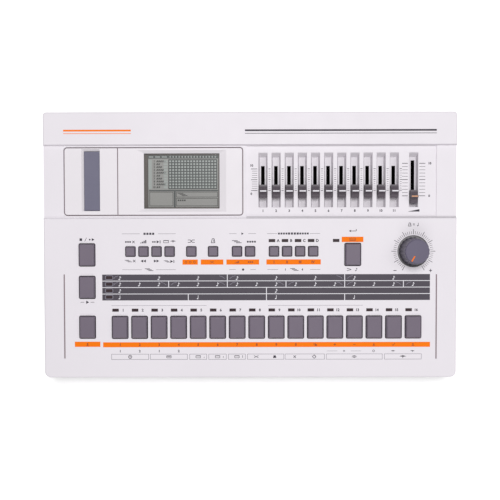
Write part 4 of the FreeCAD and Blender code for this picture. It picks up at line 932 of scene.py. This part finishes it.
# Markings on the rear plate, over and under its sockets
JACK_X = [31.0 - 16.0 * i for i in range(13)]
MINI_JACK_X = (69.0, 58.0, 47.0)
ROUND_SOCKET_X = (131.0, 109.0, 87.0)
INLET_X = 151.0
FIGURE_HEIGHT = 2.3
UNDERLINE_Z = (29.6, 29.9)

rear = Print("rear_marks", pale_ink, "rear_plate", INK, place=on_rear)
for text, x in zip("1 2 3 4 5 6 7 8 9 10 11 A B".split(), JACK_X):
    rear.figures(text, -x, 47.4, FIGURE_HEIGHT)
for x in MINI_JACK_X:
    rear.ring(-x, 46.6, 1.1, 0.35)
for count, x in enumerate(ROUND_SOCKET_X, 1):
    rear.figures(str(count), -x, 48.6, FIGURE_HEIGHT)
rear.rect(-35.8, 168.6, *UNDERLINE_Z)
rear.rect(-76.0, -40.5, *UNDERLINE_Z)
rear.ring(-INLET_X, 46.4, 1.5, 0.35)
rear.disc(-INLET_X, 46.4, 0.6)
rear.done()


# Light, floor and camera, in metres

AIM = (0, 0, 0.03)
SKY_STRENGTH = 0.26
FLOOR_COLOUR = (0.92, 0.92, 0.92, 1)
FLOOR_GLOW = 0.32
FLOOR_REACH = 6.0
CAMERA_PLACE = (0.001353, -0.097548, 0.68456)
CAMERA_TURN = (("X", 7.971), ("Y", 0.128), ("Z", -0.105))


def lamp(name, place, size, power):
    """A rectangular light aimed at the middle of the machine."""
    data = bpy.data.lights.new(name, "AREA")
    data.shape = "RECTANGLE"
    data.size, data.size_y = size
    data.energy = power
    made = bpy.data.objects.new(name, data)
    made.location = place
    made.rotation_euler = (Vector(AIM) - Vector(place)).to_track_quat("-Z", "Y").to_euler()
    bpy.context.scene.collection.objects.link(made)


def floor_finish():
    """White paper that glows a little where it is looked at, in a mirror or through glass too."""
    made = bpy.data.materials.new("floor")
    made.use_nodes = True
    tree = made.node_tree
    shader = tree.nodes["Principled BSDF"]
    shader.inputs["Base Color"].default_value = FLOOR_COLOUR
    shader.inputs["Roughness"].default_value = 0.7
    shader.inputs["Specular IOR Level"].default_value = 0.1
    light = tree.nodes.new("ShaderNodeEmission")
    light.inputs["Strength"].default_value = FLOOR_GLOW

    path = tree.nodes.new("ShaderNodeLightPath")
    seen = tree.nodes.new("ShaderNodeMath")
    seen.operation = "ADD"
    seen.use_clamp = True
    through = tree.nodes.new("ShaderNodeMath")
    through.operation = "ADD"
    tree.links.new(path.outputs["Is Camera Ray"], seen.inputs[0])
    tree.links.new(path.outputs["Is Glossy Ray"], through.inputs[0])
    tree.links.new(path.outputs["Is Transmission Ray"], through.inputs[1])
    tree.links.new(through.outputs["Value"], seen.inputs[1])

    glow = tree.nodes.new("ShaderNodeMixShader")
    tree.links.new(seen.outputs["Value"], glow.inputs["Fac"])
    tree.links.new(light.outputs["Emission"], glow.inputs[2])
    total = tree.nodes.new("ShaderNodeAddShader")
    tree.links.new(shader.outputs["BSDF"], total.inputs[0])
    tree.links.new(glow.outputs["Shader"], total.inputs[1])
    tree.links.new(total.outputs["Shader"], tree.nodes["Material Output"].inputs["Surface"])
    return made


def make_floor():
    """A wide floor for the machine to stand on."""
    mesh = bpy.data.meshes.new("floor")
    r = FLOOR_REACH
    mesh.from_pydata([(-r, -r, 0), (r, -r, 0), (r, r, 0), (-r, r, 0)], [], [(0, 1, 2, 3)])
    mesh.materials.append(floor_finish())
    floor = bpy.data.objects.new("floor", mesh)
    bpy.context.scene.collection.objects.link(floor)


def make_sky():
    """Even white light from all round."""
    world = bpy.data.worlds.new("studio")
    bpy.context.scene.world = world
    world.use_nodes = True
    sky = world.node_tree.nodes["Background"]
    sky.inputs["Color"].default_value = (1, 1, 1, 1)
    sky.inputs["Strength"].default_value = SKY_STRENGTH


def make_camera():
    """The camera that was fitted to the photograph."""
    eye = bpy.data.cameras.new("camera")
    eye.lens = 50.0
    eye.sensor_width = 36.0
    eye.clip_start = 0.01
    place = Matrix.Translation(CAMERA_PLACE)
    for axis, degrees in CAMERA_TURN:
        place = place @ Matrix.Rotation(math.radians(degrees), 4, axis)
    camera = bpy.data.objects.new("camera", eye)
    camera.matrix_world = place
    bpy.context.scene.collection.objects.link(camera)
    bpy.context.scene.camera = camera


make_floor()
make_sky()
lamp("key_light", (0.08, 0.45, 2.4), (1.1, 1.1), 35.5)
lamp("side_light", (1.3, 0.1, 1.5), (1.0, 1.0), 4.0)
lamp("front_light", (0.0, -1.7, 1.2), (1.4, 0.8), 9.0)
make_camera()
bpy.context.scene.view_settings.view_transform = "Standard"
